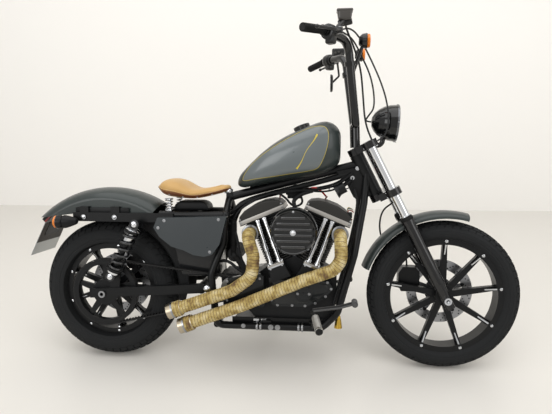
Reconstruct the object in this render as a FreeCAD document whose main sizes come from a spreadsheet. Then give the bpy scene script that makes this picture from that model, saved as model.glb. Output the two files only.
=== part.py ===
import FreeCAD, Part
import Sketcher
import math
import os

V = FreeCAD.Vector
doc = FreeCAD.newDocument("motorcycle")

# Driving dimensions in millimetres and degrees, in the upright machine's own axes:
# X runs forward from the rear axle, Y to the rider's left, Z up from the ground.
SIZES = {
    "wheelbase": 1515, "lean": 12, "rake": 27, "fork_offset": 64, "trail": 97.4, "seat_gap": 0.3,
    "overrun": 5, "wall": 3,
    # Wheels: a ring radius to the middle of the crown, the crown's own radius, rim and hub.
    "front_ring": 281, "front_crown": 50, "front_bead": 241, "front_rim_half": 32, "rear_ring": 248,
    "rear_crown": 75, "rear_bead": 203, "rear_rim_half": 38, "flange_height": 12, "flange_width": 5,
    "rim_depth": 12, "spoke_count": 9, "spoke_root": 30, "spoke_tip": 20, "spoke_thickness": 24,
    "hub_radius": 38, "front_hub_half": 51.2, "rear_hub_half": 78.7, "axle_radius": 12.5,
    "axle_bore": 8, "disc_radius": 146, "disc_ring": 44, "disc_thickness": 5, "front_disc_y": 54,
    "rear_disc_y": 81.5, "carrier_radius": 60, "pulley_radius": 150, "pulley_rim": 22,
    "pulley_half": 13, "pulley_y": 92, "belt_thickness": 5, "belt_half": 11, "drive_radius": 48,
    "drive_x": 585, "drive_z": 360,
    # Fork: distances along the steering axis are measured from where it meets the ground.
    "fork_half": 90, "fork_tube": 39, "fork_leg": 52, "leg_bottom": 300, "leg_top": 724,
    "fork_rise": 26, "lower_clamp": 842, "upper_clamp": 1066, "clamp_height": 30, "clamp_radius": 33,
    "stem_radius": 28, "neck_radius": 31, "stem_clearance": 5.5,
    # Handlebar.
    "bar_tube": 34, "bar_foot_half": 82, "bar_foot_x": -10.45, "bar_foot_z": 128.19,
    "bar_top_half": 152, "bar_top_x": -50.45, "bar_top_z": 450.19, "grip_half": 300, "grip_x": -143.45,
    "grip_z": 459.19, "bar_end_half": 408, "bar_end_x": -221.45, "bar_end_z": 444.19,
    "grip_radius": 16,
    # Headlamp and signals.
    "lamp_radius": 82, "lamp_depth": 104, "lamp_x": 163.55, "lamp_z": 135.19, "lamp_rim": 10,
    "signal_radius": 30, "signal_depth": 46, "signal_z": 455.19, "rear_signal_x": -108,
    "rear_signal_y": 150, "rear_signal_z": 652,
    # Mudguards.
    "rear_guard": 474, "rear_guard_half": 98, "rear_guard_edge": 384, "rear_guard_start": 58,
    "rear_guard_end": 137, "front_guard": 376, "front_guard_half": 58, "front_guard_edge": 345,
    "front_guard_start": 75, "front_guard_end": 161,
    # Frame.
    "tube": 32, "backbone": 38, "rail_half": 105, "rail_z": 192, "cradle_front_x": 1052,
    "cradle_front_z": 262, "downtube_x": -395, "downtube_z": 520, "knee_x": -354, "knee_z": 740,
    "knee_half": 52, "pivot_x": 482, "pivot_z": 361, "upright_x": 548, "upright_z": 560,
    "seat_rail_z": 684, "seat_rail_half": 96, "seat_post_x": 560, "backbone_z": 758, "rail_end_x": 262,
    "strut_end_x": -132, "strut_length": 462, "strut_height": 40, "strut_width": 8, "strut_rise": 12,
    "strut_bolt_front": 63, "strut_bolt_rear": -81, "bolt_radius": 9, "neck_gap": 1, "pivot_half": 122,
    "plate_top_z": 425,
    # Swingarm and suspension.
    "arm_half": 122, "arm_height": 40, "arm_width": 24, "arm_front_x": 455, "pivot_radius": 22,
    "shock_y": 155, "shock_top_x": 173, "shock_top_z": 648, "shock_foot_x": 56, "shock_foot_z": 414,
    "shock_body": 24, "shock_coil": 29, "shock_wire": 9, "shock_eye": 16,
    # Engine.
    "crank_x": 862, "crank_z": 335, "cylinder_angle": 22.5, "case_half": 78, "case_floor": 218,
    "deck": 158, "barrel": 56, "fin_radius": 76, "fin_count": 12, "fin_thickness": 3, "head_base": 290,
    "head_half_length": 88, "head_half_width": 60, "rocker_base": 366, "rocker_half_length": 106,
    "rocker_height": 68, "rocker_strip": 26, "rocker_half_width": 80, "head_fins": 7,
    "core_share": 0.8, "cover_depth": 44, "primary_depth": 66, "pushrod": 9, "pushrod_y": 120,
    "cleaner_x": 864, "cleaner_z": 629, "cleaner_radius": 98, "cleaner_depth": 56, "cleaner_y": 204,
    "intake_radius": 26, "pipe": 56, "tip_radius": 33, "tip_bore": 28,
    # Bodywork.
    "tank_x": 606, "tank_length": 452, "tank_half": 127, "tank_floor": 802, "tank_height": 290,
    "cap_radius": 35, "cap_x": 897, "cap_height": 36, "cap_tilt": 21, "saddle_x": 240,
    "saddle_length": 346, "saddle_half": 132, "saddle_floor": 752, "saddle_height": 94,
    "spring_radius": 20, "spring_x": 300, "spring_half": 78, "cover_x": 251, "cover_length": 324,
    "cover_floor": 508, "cover_height": 178, "cover_y": 121, "cover_thickness": 30, "box_x": 405,
    "box_length": 230, "plate_length": 170, "plate_width": 200, "plate_x": -318, "plate_z": 562,
    "plate_tilt": 26.6, "holder_rise": 50, "holder_length": 70, "holder_width": 120, "holder_bar": 16,
    # Brakes, foot and hand controls.
    "brake_gap": 5.5, "caliper_slot": 8, "caliper_half": 26, "front_caliper_x": -187,
    "front_caliper_z": 332, "front_caliper_length": 94, "front_caliper_height": 112, "caliper_lug": 9,
    "lug_low": 410, "lug_high": 434, "lug_y": 74, "rear_caliper_x": 36, "rear_caliper_z": 398,
    "rear_caliper_length": 84, "rear_caliper_height": 62, "stay_x": 80, "stay_length": 36,
    "stay_height": 80, "stay_z": 372, "peg_x": 958, "peg_y": 205, "peg_z": 276, "peg_end_x": 977,
    "peg_end_y": 330, "peg_end_z": 258, "peg": 15, "peg_arm": 9, "pedal_y": 205, "pedal_root_x": 945,
    "pedal_root_z": 303, "pedal_bend_x": 1060, "pedal_bend_z": 322, "pedal_x": 1120, "pedal_z": 340,
    "pedal_bar": 6.5, "pad_half": 26, "pad": 11, "housing_start": 0.68, "housing_length": 42,
    "housing_radius": 25, "perch_reach": 46, "perch": 9, "lever": 6, "lever_bend_x": -104.45,
    "lever_bend_y": 340, "lever_bend_z": 452.19, "lever_end_x": -168.45, "lever_end_y": 421,
    "lever_end_z": 442.19, "lever_ball": 8, "right_box_x": -68.45, "right_box_y": 252,
    "right_box_z": 524.19, "left_box_x": -79.45, "left_box_y": 285, "left_box_z": 496.19,
    "box_long": 62, "box_wide": 44, "box_tall": 42, "mirror_x": -116.45, "mirror_y": 352,
    "mirror_z": 362.19, "mirror_radius": 44, "mirror_depth": 14, "mirror_stem": 5,
    "stem_knee_x": -72.45, "stem_knee_y": 340, "stem_knee_z": 395.19,
    # Fittings.
    "tail_lamp_turn": 43, "tail_lamp_out": 450, "tail_lamp_length": 46, "tail_lamp_width": 74,
    "tail_lamp_height": 24, "horn_back": 475, "horn_y": 56, "horn_z": 790,
    "horn_dip": 30, "horn_radius": 32, "horn_neck": 25, "horn_depth": 44, "horn_stay": 5,
    "stay_back": 412, "stay_lift": 836, "coil_x": 858, "coil_z": 776, "coil_length": 64,
    "coil_width": 46, "coil_height": 44, "bell_x": 1058, "bell_y": 50, "bell_z": 236,
    "bell_height": 58, "bell_radius": 18, "bell_neck": 7, "lead": 4, "hose": 4, "cable": 3.5,
    "boot": 11, "clear_y": 97, "cord_bend": 45, "least_turn": 1, "run_share": 0.45, "perch_share": 0.9,
    "boot_length": 30, "plug_along": 326, "plug_across": 34,
    # Side stand.
    "stand_x": 640, "stand_y": 142, "stand_z": 206, "stand_foot_x": 760, "stand_foot_y": 318,
    "stand_bar": 20, "stand_foot_length": 70, "stand_foot_width": 40, "stand_foot_thickness": 10,
    "stow_back": 212, "stow_out": 34, "stow_down": 52, "eye_half": 12, "eye_radius": 15,
    "pin_radius": 6, "pin_stand_off": 12,
    # Sizes of small features.
    "tyre_bulge": 25, "carrier_arms": 5, "pulley_arms": 5, "front_spoke_turn": 1.1,
    "rear_spoke_turn": 11.3, "axle_head": 10, "leg_foot": 20, "leg_neck": 60, "leg_taper": 60,
    "seal_height": 14, "riser_forward": 8, "riser_half": 48, "riser": 38, "front_guard_rise": 26,
    "rear_guard_rise": 52, "lamp_tilt": 4, "stalk": 22, "signal_lens": 16, "shoulder_share": 0.7,
    "swell_share": 0.9, "signal_stem": 10, "signal_stem_radius": 7, "cradle_nose": 68,
    "axle_plate": 60, "cup_place": 28, "cup_height": 12, "deck_half": 68, "case_shoulder": 84,
    "case_waist": 170, "case_back": 322, "case_front": 186, "cam_length": 258, "cam_height": 132,
    "sprocket_cover_length": 176, "sprocket_cover_height": 150, "sprocket_cover_x": 556,
    "sprocket_cover_y": 122, "sprocket_cover_z": 290, "primary_length": 400, "primary_height": 190,
    "primary_x": 590, "primary_z": 252, "pushrod_foot": 166, "pushrod_near": 2, "pushrod_far": 38,
    "pushrod_near_head": 4, "pushrod_far_head": 28, "tappet_height": 30, "tappet_length": 70,
    "tappet_width": 26, "tip_length": 62, "pipe_bend": 1.2, "exhaust_reach": 198, "exhaust_side": 188,
    "exhaust_rise": 267, "tank_squareness": 3.2, "grip_core": 12.7, "grip_gap": 12,
    "guard_tail_z": 655, "guard_tail_x": -345, "guard_side_z": 690, "guard_side_x": -88,
    "tab_length": 44, "tab_height": 96, "pin": 16, "port_along": 305, "port_radius": 18,
    "port_reach": 44, "clamp_ring": 6, "ring_height": 18, "steer_limit": 38, "signal_ring_z": 366.19,
    "lens_back": 6, "cap_z": 1044, "saddle_squareness": 2.6, "spring_lift": 5.4, "box_z": 697.3,
    "box_height": 44, "box_width": 112, "belt_gap": 0.6, "rib_count": 6, "rib_pitch": 24,
    "rib_reach": 0.8, "rib_depth": 4, "rib_height": 9, "rocker_round": 8, "weld": 3, "spine_drop": 44,
    "lug_length": 40, "lug_height": 50, "lug_rise": 9, "spacer_x": 700, "spacer_low": 322,
    "spacer_high": 404, "spacer": 8, "shaft_radius": 20, "leg_boss": 13, "guard_boss_rise": 352,
    "bearer_length": 40, "bearer_front": 950, "bearer_rear": 740, "web_half": 23, "web_top": 52,
    "web_lip": 38, "web_foot_back": 352, "web_foot_z": 728, "web_low_back": 398, "web_low_z": 764,
    "web_mid_back": 426, "web_mid_z": 820, "web_rear_back": 474, "web_rear_z": 876,
    "tank_mount_x": 660, "tank_mount_z": 824, "tank_mount": 13, "tank_mount_half": 56, "hinge_x": 562,
    "hinge_length": 28, "hinge_width": 44, "hinge_height": 21.8,
}
sheet = doc.addObject("Spreadsheet::Sheet", "sizes")
for row, (alias, value) in enumerate(SIZES.items(), start=1):
    sheet.set("A%d" % row, alias)
    sheet.set("B%d" % row, str(value))
    sheet.setAlias("B%d" % row, alias)
doc.recompute()


class Sheet:
    """Reads a driving dimension back from its cell, by its alias."""

    def __getattr__(self, alias):
        return float(sheet.get(alias))


S = Sheet()
SIDES = {"left": 1, "right": -1}
lean = math.radians(S.lean)
rake = math.radians(S.rake)
axis_up = V(-math.sin(rake), 0, math.cos(rake))
axis_forward = V(math.cos(rake), 0, math.sin(rake))
front_axle = V(S.wheelbase, 0, S.front_ring + S.front_crown / math.cos(lean))
rear_axle = V(0, 0, S.rear_ring + S.rear_crown / math.cos(lean))


def steered(along, forward, left=0):
    """A point at a distance along the steering axis, ahead of it and to its left."""
    return V(S.wheelbase + S.trail, left, 0) + axis_up * along + axis_forward * forward


def at_bar(x, y, z):
    """A point set out from the steering axis at the upper clamp."""
    return steered(S.upper_clamp, 0) + V(x, y, z)


def bind(item, **expressions):
    for name, expression in expressions.items():
        item.setExpression(name, expression)
    return item


def aimed(start, direction):
    return FreeCAD.Placement(start, FreeCAD.Rotation(V(0, 0, 1), direction))


def bar(name, start, end, radius):
    """A straight round bar between two points."""
    item = bind(doc.addObject("Part::Cylinder", name), Radius=radius)
    item.Height = (end - start).Length
    item.Placement = aimed(start, end - start)
    return item


def block(name, centre, length, width, height, direction=None):
    """A rectangular block about its centre, its height along direction."""
    item = bind(doc.addObject("Part::Box", name), Length=length, Width=width, Height=height)
    item.recompute()
    turn = FreeCAD.Rotation(V(0, 0, 1), direction) if direction else FreeCAD.Rotation()
    corner = V(item.Length.Value, item.Width.Value, item.Height.Value) / 2
    item.Placement = FreeCAD.Placement(centre - turn.multVec(corner), turn)
    return item


def route(points, bend):
    """Straight runs joined by tangent arcs of one radius, cut down where a run is short."""
    edges = []
    last = points[0]
    for before, corner, after in zip(points, points[1:], points[2:]):
        inward = (corner - before).normalize()
        outward = (after - corner).normalize()
        turn = inward.getAngle(outward)
        if turn < math.radians(S.least_turn):
            continue
        room = S.run_share * min((corner - before).Length, (after - corner).Length)
        reach = min(bend * math.tan(turn / 2), room)
        start = corner - inward * reach
        end = corner + outward * reach
        middle_way = (outward - inward).normalize()
        radius = reach / math.tan(turn / 2)
        middle = corner + middle_way * (radius / math.cos(turn / 2) - radius)
        edges.append(Part.LineSegment(last, start).toShape())
        edges.append(Part.Arc(start, middle, end).toShape())
        last = end
    edges.append(Part.LineSegment(last, points[-1]).toShape())
    return Part.Wire(edges)


def pipe(name, points, bend, radius):
    """A round section swept along a route."""
    spine = doc.addObject("Part::Feature", name + "_route")
    spine.Shape = route(points, bend)
    section = bind(doc.addObject("Part::Circle", name + "_section"), Radius=radius)
    section.Placement = aimed(points[0], points[1] - points[0])
    item = doc.addObject("Part::Sweep", name)
    item.Sections = [section]
    item.Spine = (spine, [])
    item.Solid = True
    return item


def sketch(body, plane, points):
    """A closed outline on one of a body's planes, each corner held by two expressions."""
    drawing = body.newObject("Sketcher::SketchObject", body.Name + "_outline")
    drawing.AttachmentSupport = ([p for p in body.Origin.OriginFeatures if p.Role == plane][0], [""])
    drawing.MapMode = "FlatFace"
    corners = [[sheet.evalExpression(c) for c in point] for point in points]
    corners = [V(getattr(a, "Value", a), getattr(b, "Value", b), 0) for a, b in corners]
    for i, corner in enumerate(corners):
        drawing.addGeometry(Part.LineSegment(corner, corners[(i + 1) % len(corners)]), False)
    for i in range(len(corners)):
        drawing.addConstraint(Sketcher.Constraint("Coincident", i, 2, (i + 1) % len(corners), 1))
    for i, (corner, point) in enumerate(zip(corners, points)):
        for kind, value, expression in zip(("DistanceX", "DistanceY"), corner, point):
            index = drawing.addConstraint(Sketcher.Constraint(kind, -1, 1, i, 1, value))
            drawing.setExpression("Constraints[%d]" % index, expression)
    return drawing


def origin_axis(body, role):
    return ([axis for axis in body.Origin.OriginFeatures if axis.Role == role][0], [""])


def lathe(name, points, start, direction, angle="360", body=None):
    """A body turned about its Y axis from a profile of places along the axis and radii."""
    made = body or doc.addObject("PartDesign::Body", name)
    drawing = sketch(made, "YZ_Plane", points)
    turned = made.newObject("PartDesign::Revolution", name + "_turned")
    turned.Profile = drawing
    turned.ReferenceAxis = (drawing, ["H_Axis"])
    turned.setExpression("Angle", angle)
    made.Placement = FreeCAD.Placement(start, FreeCAD.Rotation(V(0, 1, 0), direction))
    return made


def ring(low, high, inner, outer):
    """The profile of a plain ring, for a lathe."""
    return [(low, inner), (low, outer), (high, outer), (high, inner)]


def slab(name, points, thickness, y=0, body=None):
    """A plate cut from an outline in X and Z, with its middle at y."""
    made = body or doc.addObject("PartDesign::Body", name)
    drawing = sketch(made, "XZ_Plane", points)
    pad = made.newObject("PartDesign::Pad", name + "_pad")
    pad.Profile = drawing
    pad.Midplane = True
    pad.setExpression("Length", thickness)
    made.Placement.Base.y = y
    return made


def repeat(body, name, count):
    """Repeats a body's last feature evenly about its Y axis."""
    pattern = body.newObject("PartDesign::PolarPattern", name + "_pattern")
    pattern.Originals = [body.Group[-2]]
    pattern.Axis = origin_axis(body, "Y_Axis")
    pattern.Angle = 360
    pattern.Occurrences = int(count)
    body.Tip = pattern
    return body


def spoked(name, hub, rim, arm, thickness, count, centre, turn=0):
    """A hub and a rim joined by evenly spaced arms; arm is root and tip half widths and radii."""
    root, tip, inner, outer = arm
    body = lathe(name, hub, V(0, 0, 0), V(0, 1, 0))
    corners = [("-(%s)" % root, inner), ("-(%s)" % tip, outer), (tip, outer), (root, inner)]
    slab(name + "_arm", corners, thickness, 0, body)
    repeat(body, name, count)
    lathe(name + "_rim", rim, V(0, 0, 0), V(0, 1, 0), "360", body)
    body.Placement = FreeCAD.Placement(centre, FreeCAD.Rotation(V(0, 1, 0), turn))
    return body


def fuse(name, pieces):
    item = doc.addObject("Part::MultiFuse", name)
    item.Shapes = pieces
    return item


def cut(name, base, tool):
    item = doc.addObject("Part::Cut", name)
    item.Base = base
    item.Tool = tool
    return item


def mirrored(name, piece):
    """The same piece on the machine's other side."""
    item = doc.addObject("Part::Mirroring", name)
    item.Source = piece
    item.Normal = V(0, 1, 0)
    return item


def both(pieces):
    """Pieces of one side with their mirror images."""
    return pieces + [mirrored(piece.Name + "_other", piece) for piece in pieces]


NODES = []


def node(label, *pieces):
    """A named sub-part: pieces that ride together and stay separate solids."""
    item = doc.addObject("Part::Compound", label)
    item.Label = label
    item.Links = list(pieces)
    NODES.append(item)
    return item


def loft(name, wires):
    """A solid through closed sections."""
    sections = []
    for index, wire in enumerate(wires):
        section = doc.addObject("Part::Feature", "%s_section_%d" % (name, index))
        section.Shape = wire
        sections.append(section)
    item = doc.addObject("Part::Loft", name)
    item.Sections = sections
    item.Solid = True
    return item


def rounded_section(x, half, low, high, squareness, crown=0.5):
    """A closed smooth section across the machine, widest at the crown share of its height."""
    points = []
    steps = 16
    belt = low + (high - low) * crown
    for step in range(steps):
        angle = 2 * math.pi * (step + 0.5) / steps
        across = math.copysign(abs(math.cos(angle)) ** (2 / squareness), math.cos(angle))
        lift = math.copysign(abs(math.sin(angle)) ** (2 / squareness), math.sin(angle))
        rise = (high - belt) if lift > 0 else (belt - low)
        points.append(V(x, half * across, belt + rise * lift))
    curve = Part.BSplineCurve()
    curve.interpolate(points, PeriodicFlag=True)
    return Part.Wire([curve.toShape()])


# Wheels: cast rims with tapered arms, a brake disc each, and the belt pulley at the rear.
def wheel(end, centre, disc_y, turn):
    """One cast wheel with its tyre and disc; end is front or rear and picks the sizes."""
    bead, half = "sizes.%s_bead" % end, "sizes.%s_rim_half" % end
    lip, rail = "(%s + sizes.flange_width)" % half, "(%s + sizes.flange_height)" % bead
    inside = "%s - sizes.rim_depth" % bead
    hub_half = "sizes.%s_hub_half" % end
    bore = "sizes.axle_radius + sizes.seat_gap"
    rim = [("-" + lip, inside), ("-" + lip, rail), ("-" + half, rail), ("-" + half, bead),
           (half, bead), (half, rail), (lip, rail), (lip, inside)]
    arm = ("sizes.spoke_root / 2", "sizes.spoke_tip / 2", "sizes.hub_radius - sizes.wall",
           inside + " + sizes.wall")
    cast = spoked(end + "_rim_body", ring("-" + hub_half, hub_half, bore, "sizes.hub_radius"), rim,
                  arm, "sizes.spoke_thickness", S.spoke_count, centre, turn)
    tyre = tyre_body(end, centre)
    disc_half = "sizes.disc_thickness / 2"
    disc = spoked(end + "_disc_body",
                  ring("-" + disc_half, disc_half, bore, "sizes.carrier_radius"),
                  ring("-" + disc_half, disc_half, "sizes.disc_radius - sizes.disc_ring",
                       "sizes.disc_radius"),
                  ("sizes.spoke_tip / 2", "sizes.spoke_tip / 2", "sizes.carrier_radius - sizes.wall",
                   "sizes.disc_radius - sizes.disc_ring + sizes.wall"),
                  "sizes.disc_thickness", S.carrier_arms, centre + V(0, disc_y, 0), turn)
    node(end + "_rim", cast)
    node(end + "_tyre", tyre)
    node(end + "_brake_disc", disc)


def tyre_body(end, centre):
    """A tyre: a round crown, sidewalls drawn in to the rim, and a flat seat on the bead."""
    body = doc.addObject("PartDesign::Body", end + "_tyre_body")
    drawing = body.newObject("Sketcher::SketchObject", end + "_tyre_outline")
    drawing.AttachmentSupport = origin_axis(body, "YZ_Plane")
    drawing.MapMode = "FlatFace"
    ring_radius, crown = S.__getattr__(end + "_ring"), S.__getattr__(end + "_crown")
    bead, half = S.__getattr__(end + "_bead"), S.__getattr__(end + "_rim_half")
    bulge = math.radians(S.tyre_bulge)
    lip, rail = half + S.flange_width, bead + S.flange_height + S.seat_gap
    seat, inner = half - S.seat_gap, bead + S.seat_gap
    centre_point = V(0, ring_radius, 0)
    circle = Part.Circle(centre_point, V(0, 0, 1), crown)
    arc = Part.ArcOfCircle(circle, -bulge, math.pi + bulge)
    corners = [arc.EndPoint, V(-lip, rail, 0), V(-seat, rail, 0), V(-seat, inner, 0),
               V(seat, inner, 0), V(seat, rail, 0), V(lip, rail, 0), arc.StartPoint]
    drawing.addGeometry(arc, False)
    for first, second in zip(corners, corners[1:]):
        drawing.addGeometry(Part.LineSegment(first, second), False)
    last = len(corners) - 1
    drawing.addConstraint(Sketcher.Constraint("Coincident", 0, 2, 1, 1))
    for index in range(1, last):
        drawing.addConstraint(Sketcher.Constraint("Coincident", index, 2, index + 1, 1))
    drawing.addConstraint(Sketcher.Constraint("Coincident", last, 2, 0, 1))
    sizes = {"ring": "sizes.%s_ring" % end, "crown": "sizes.%s_crown" % end,
             "lip": "sizes.%s_rim_half + sizes.flange_width" % end,
             "seat": "sizes.%s_rim_half - sizes.seat_gap" % end,
             "rail": "sizes.%s_bead + sizes.flange_height + sizes.seat_gap" % end,
             "inner": "sizes.%s_bead + sizes.seat_gap" % end}
    places = [(2, "-(%(lip)s)", "%(rail)s"), (3, "-(%(seat)s)", "%(rail)s"),
              (4, "-(%(seat)s)", "%(inner)s"), (5, "%(seat)s", "%(inner)s"),
              (6, "%(seat)s", "%(rail)s"), (7, "%(lip)s", "%(rail)s")]
    drop = "(%(ring)s) - (%(crown)s) * sin(sizes.tyre_bulge * 1deg)"
    rules = [("DistanceY", 0, 3, ring_radius, "%(ring)s"), ("DistanceX", 0, 3, 0, "0"),
             ("Radius", 0, None, crown, "%(crown)s"),
             ("DistanceY", 0, 1, arc.StartPoint.y, drop), ("DistanceY", 0, 2, arc.EndPoint.y, drop)]
    for line, across, out in places:
        rules.append(("DistanceX", line, 1, corners[line - 1].x, across))
        rules.append(("DistanceY", line, 1, corners[line - 1].y, out))
    for kind, item, spot, value, expression in rules:
        if spot is None:
            index = drawing.addConstraint(Sketcher.Constraint(kind, item, value))
        else:
            index = drawing.addConstraint(Sketcher.Constraint(kind, -1, 1, item, spot, value))
        if expression != "0":
            drawing.setExpression("Constraints[%d]" % index, expression % sizes)
    turned = body.newObject("PartDesign::Revolution", end + "_tyre_turned")
    turned.Profile = drawing
    turned.ReferenceAxis = (drawing, ["H_Axis"])
    turned.Angle = 360
    body.Placement.Base = centre
    return body


wheel("front", front_axle, S.front_disc_y, S.front_spoke_turn)
wheel("rear", rear_axle, S.rear_disc_y, S.rear_spoke_turn)
pulley = spoked("rear_pulley_body",
                ring("-sizes.pulley_half", "sizes.pulley_half",
                     "sizes.axle_radius + sizes.seat_gap", "sizes.carrier_radius"),
                ring("-sizes.pulley_half", "sizes.pulley_half",
                     "sizes.pulley_radius - sizes.pulley_rim", "sizes.pulley_radius"),
                ("sizes.spoke_root / 2", "sizes.spoke_tip / 2", "sizes.carrier_radius - sizes.wall",
                 "sizes.pulley_radius - sizes.pulley_rim + sizes.wall"),
                "sizes.pulley_half", S.pulley_arms, rear_axle - V(0, S.pulley_y, 0))
node("rear_pulley", pulley)


# Axles: steel bars with a nut at the rear and an open bore at the front.
def axle(end, centre):
    half = "(%s + sizes.seat_gap + sizes.axle_head)" % {
        "front": "sizes.fork_half + sizes.leg_foot", "rear": "sizes.arm_half + sizes.arm_width / 2"}[end]
    profile = [("-" + half, "sizes.axle_bore"), ("-" + half, "sizes.axle_radius + sizes.wall"),
               ("-%s + sizes.axle_head" % half, "sizes.axle_radius + sizes.wall"),
               ("-%s + sizes.axle_head" % half, "sizes.axle_radius"),
               (half, "sizes.axle_radius"), (half, "sizes.axle_bore")]
    return lathe(end + "_axle_body", profile, centre, V(0, 1, 0))


node("front_axle", axle("front", front_axle))
node("rear_axle", axle("rear", rear_axle))


# Fork: clamps, stem, tubes and lower legs, all set out along the steering axis.
def leg_point(along, side=1):
    return steered(along, S.fork_offset, side * S.fork_half)


fork_tube = bar("fork_tube_bar", leg_point(S.leg_top), leg_point(S.upper_clamp + S.fork_rise),
                "sizes.fork_tube / 2")
node("fork_tubes", *both([fork_tube]))
leg_hole = bind(doc.addObject("Part::Cylinder", "leg_axle_hole"),
                Radius="sizes.axle_radius + sizes.seat_gap", Height="2 * sizes.wheelbase")
leg_hole.Placement = aimed(front_axle - V(0, S.wheelbase, 0), V(0, 1, 0))
leg = lathe("leg_body", [("0", "0"), ("0", "sizes.leg_foot"), ("sizes.leg_neck", "sizes.leg_foot"),
                         ("sizes.leg_neck + sizes.leg_taper", "sizes.fork_leg / 2"),
                         ("sizes.leg_top - sizes.leg_bottom - sizes.seal_height", "sizes.fork_leg / 2"),
                         ("sizes.leg_top - sizes.leg_bottom - sizes.seal_height",
                          "sizes.fork_leg / 2 + sizes.wall"),
                         ("sizes.leg_top - sizes.leg_bottom", "sizes.fork_leg / 2 + sizes.wall"),
                         ("sizes.leg_top - sizes.leg_bottom", "0")],
            leg_point(S.leg_bottom), axis_up)
boss_middle = front_axle + axis_up * S.guard_boss_rise
guard_boss = bar("leg_guard_boss", V(boss_middle.x, S.front_guard_half + S.seat_gap, boss_middle.z),
                 V(boss_middle.x, S.fork_half, boss_middle.z), "sizes.leg_boss")
left_leg = cut("leg_drilled", fuse("leg_with_boss", [leg, guard_boss]), leg_hole)
node("fork_legs", *both([left_leg]))


def clamp(name, along, hole):
    """A clamp across both tubes with the stem's boss behind them."""
    centre = steered(along, 0)
    bosses = [bar(name + "_boss_%s" % side, leg_point(along, sign), leg_point(along, sign)
                  + axis_up * S.clamp_height, "sizes.clamp_radius") for side, sign in SIDES.items()]
    stem = bar(name + "_stem", centre, centre + axis_up * S.clamp_height, "sizes.neck_radius")
    bridge = block(name + "_bridge", steered(along + S.clamp_height / 2, S.fork_offset / 2),
                   "sizes.fork_offset", "2 * sizes.fork_half", "sizes.clamp_height", axis_up)
    whole = fuse(name + "_whole", bosses + [stem, bridge])
    tools = [bar(name + "_hole_%s" % side, leg_point(along - S.overrun, sign),
                 leg_point(along + S.clamp_height + S.overrun, sign), hole)
             for side, sign in SIDES.items()]
    return cut(name + "_bored", whole, fuse(name + "_tools", tools))


tube_hole = "sizes.fork_tube / 2 + sizes.seat_gap"
lower = clamp("lower_clamp_piece", S.lower_clamp, tube_hole)
upper = clamp("upper_clamp_piece", S.upper_clamp, tube_hole)
stem = bar("stem_bar", steered(S.lower_clamp + S.clamp_height, 0), steered(S.upper_clamp, 0),
           "sizes.stem_radius - sizes.stem_clearance")
node("fork_clamps", lower, upper, stem)

# Handlebar: two risers, tall uprights that lean apart, and ends drawn back to the grips.
riser_top = at_bar(S.bar_foot_x, S.bar_foot_half, S.bar_foot_z)
bar_middle = at_bar(S.bar_foot_x, 0, S.bar_foot_z)
bar_route = [riser_top, at_bar(S.bar_top_x, S.bar_top_half, S.bar_top_z),
             at_bar(S.grip_x, S.grip_half, S.grip_z),
             at_bar(S.bar_end_x, S.bar_end_half, S.bar_end_z)]
upright = pipe("bar_side", bar_route[:3], S.bar_tube * 2, "sizes.bar_tube / 2")
cross = bar("bar_cross", bar_middle - V(0, S.bar_foot_half, 0), riser_top, "sizes.bar_tube / 2")
corner_ball = bind(doc.addObject("Part::Sphere", "bar_corner"), Radius="sizes.bar_tube / 2")
corner_ball.Placement.Base = riser_top
bar_end = bar("bar_end", bar_route[2], bar_route[3], "sizes.grip_core")
bar_sides = both([upright, corner_ball, bar_end])
node("handlebar", fuse("bar_whole", [cross] + bar_sides))
grip_way = (bar_route[3] - bar_route[2]).normalize()
grip_length = (bar_route[3] - bar_route[2]).Length
sleeve_end = "%f - sizes.grip_gap" % grip_length
grip = lathe("grip_sleeve", [("0", "sizes.grip_core + sizes.seat_gap"),
                             ("0", "sizes.grip_radius + sizes.wall"),
                             ("sizes.wall", "sizes.grip_radius + sizes.wall"),
                             ("sizes.wall", "sizes.grip_radius"),
                             (sleeve_end, "sizes.grip_radius"),
                             (sleeve_end, "sizes.grip_core + sizes.seat_gap")],
             bar_route[2] + grip_way * S.grip_gap, grip_way)
node("grips", *both([grip]))
riser_foot = steered(S.upper_clamp + S.clamp_height, S.riser_forward, S.riser_half)
riser = bar("riser_bar", riser_foot, bar_middle + V(0, S.riser_half, 0), "sizes.riser / 2")
cross_room = bar("riser_room", bar_middle - V(0, S.bar_end_half, 0),
                 bar_middle + V(0, S.bar_end_half, 0), "sizes.bar_tube / 2 + sizes.seat_gap")
clamp_room = block("clamp_room", steered(S.upper_clamp + S.clamp_height / 2, S.fork_offset / 2),
                   "sizes.fork_offset + 2 * sizes.seat_gap", "4 * sizes.fork_half",
                   "sizes.clamp_height + 2 * sizes.seat_gap", axis_up)
node("risers", *both([cut("riser_seated", cut("riser_saddled", riser, cross_room), clamp_room)]))


# Mudguards: pressed shells about each axle, with an oval crown and straight sides.
def shell_section(half, top, rise, edge, skin):
    """The cut face of a mudguard, standing on the plane x = 0 above the axle."""
    level = top - rise
    lines = []
    for width, height in ((half, rise), (half - skin, rise - skin)):
        oval = Part.Ellipse(V(0, width, level), V(0, 0, level + height), V(0, 0, level))
        lines.append(Part.ArcOfEllipse(oval, 0, math.pi).toShape())
        for side in (-1, 1):
            lines.append(Part.LineSegment(V(0, side * width, edge),
                                          V(0, side * width, level)).toShape())
    for side in (-1, 1):
        lines.append(Part.LineSegment(V(0, side * half, edge),
                                      V(0, side * (half - skin), edge)).toShape())
    return Part.Face(Part.Wire(Part.__sortEdges__(lines)))


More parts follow.
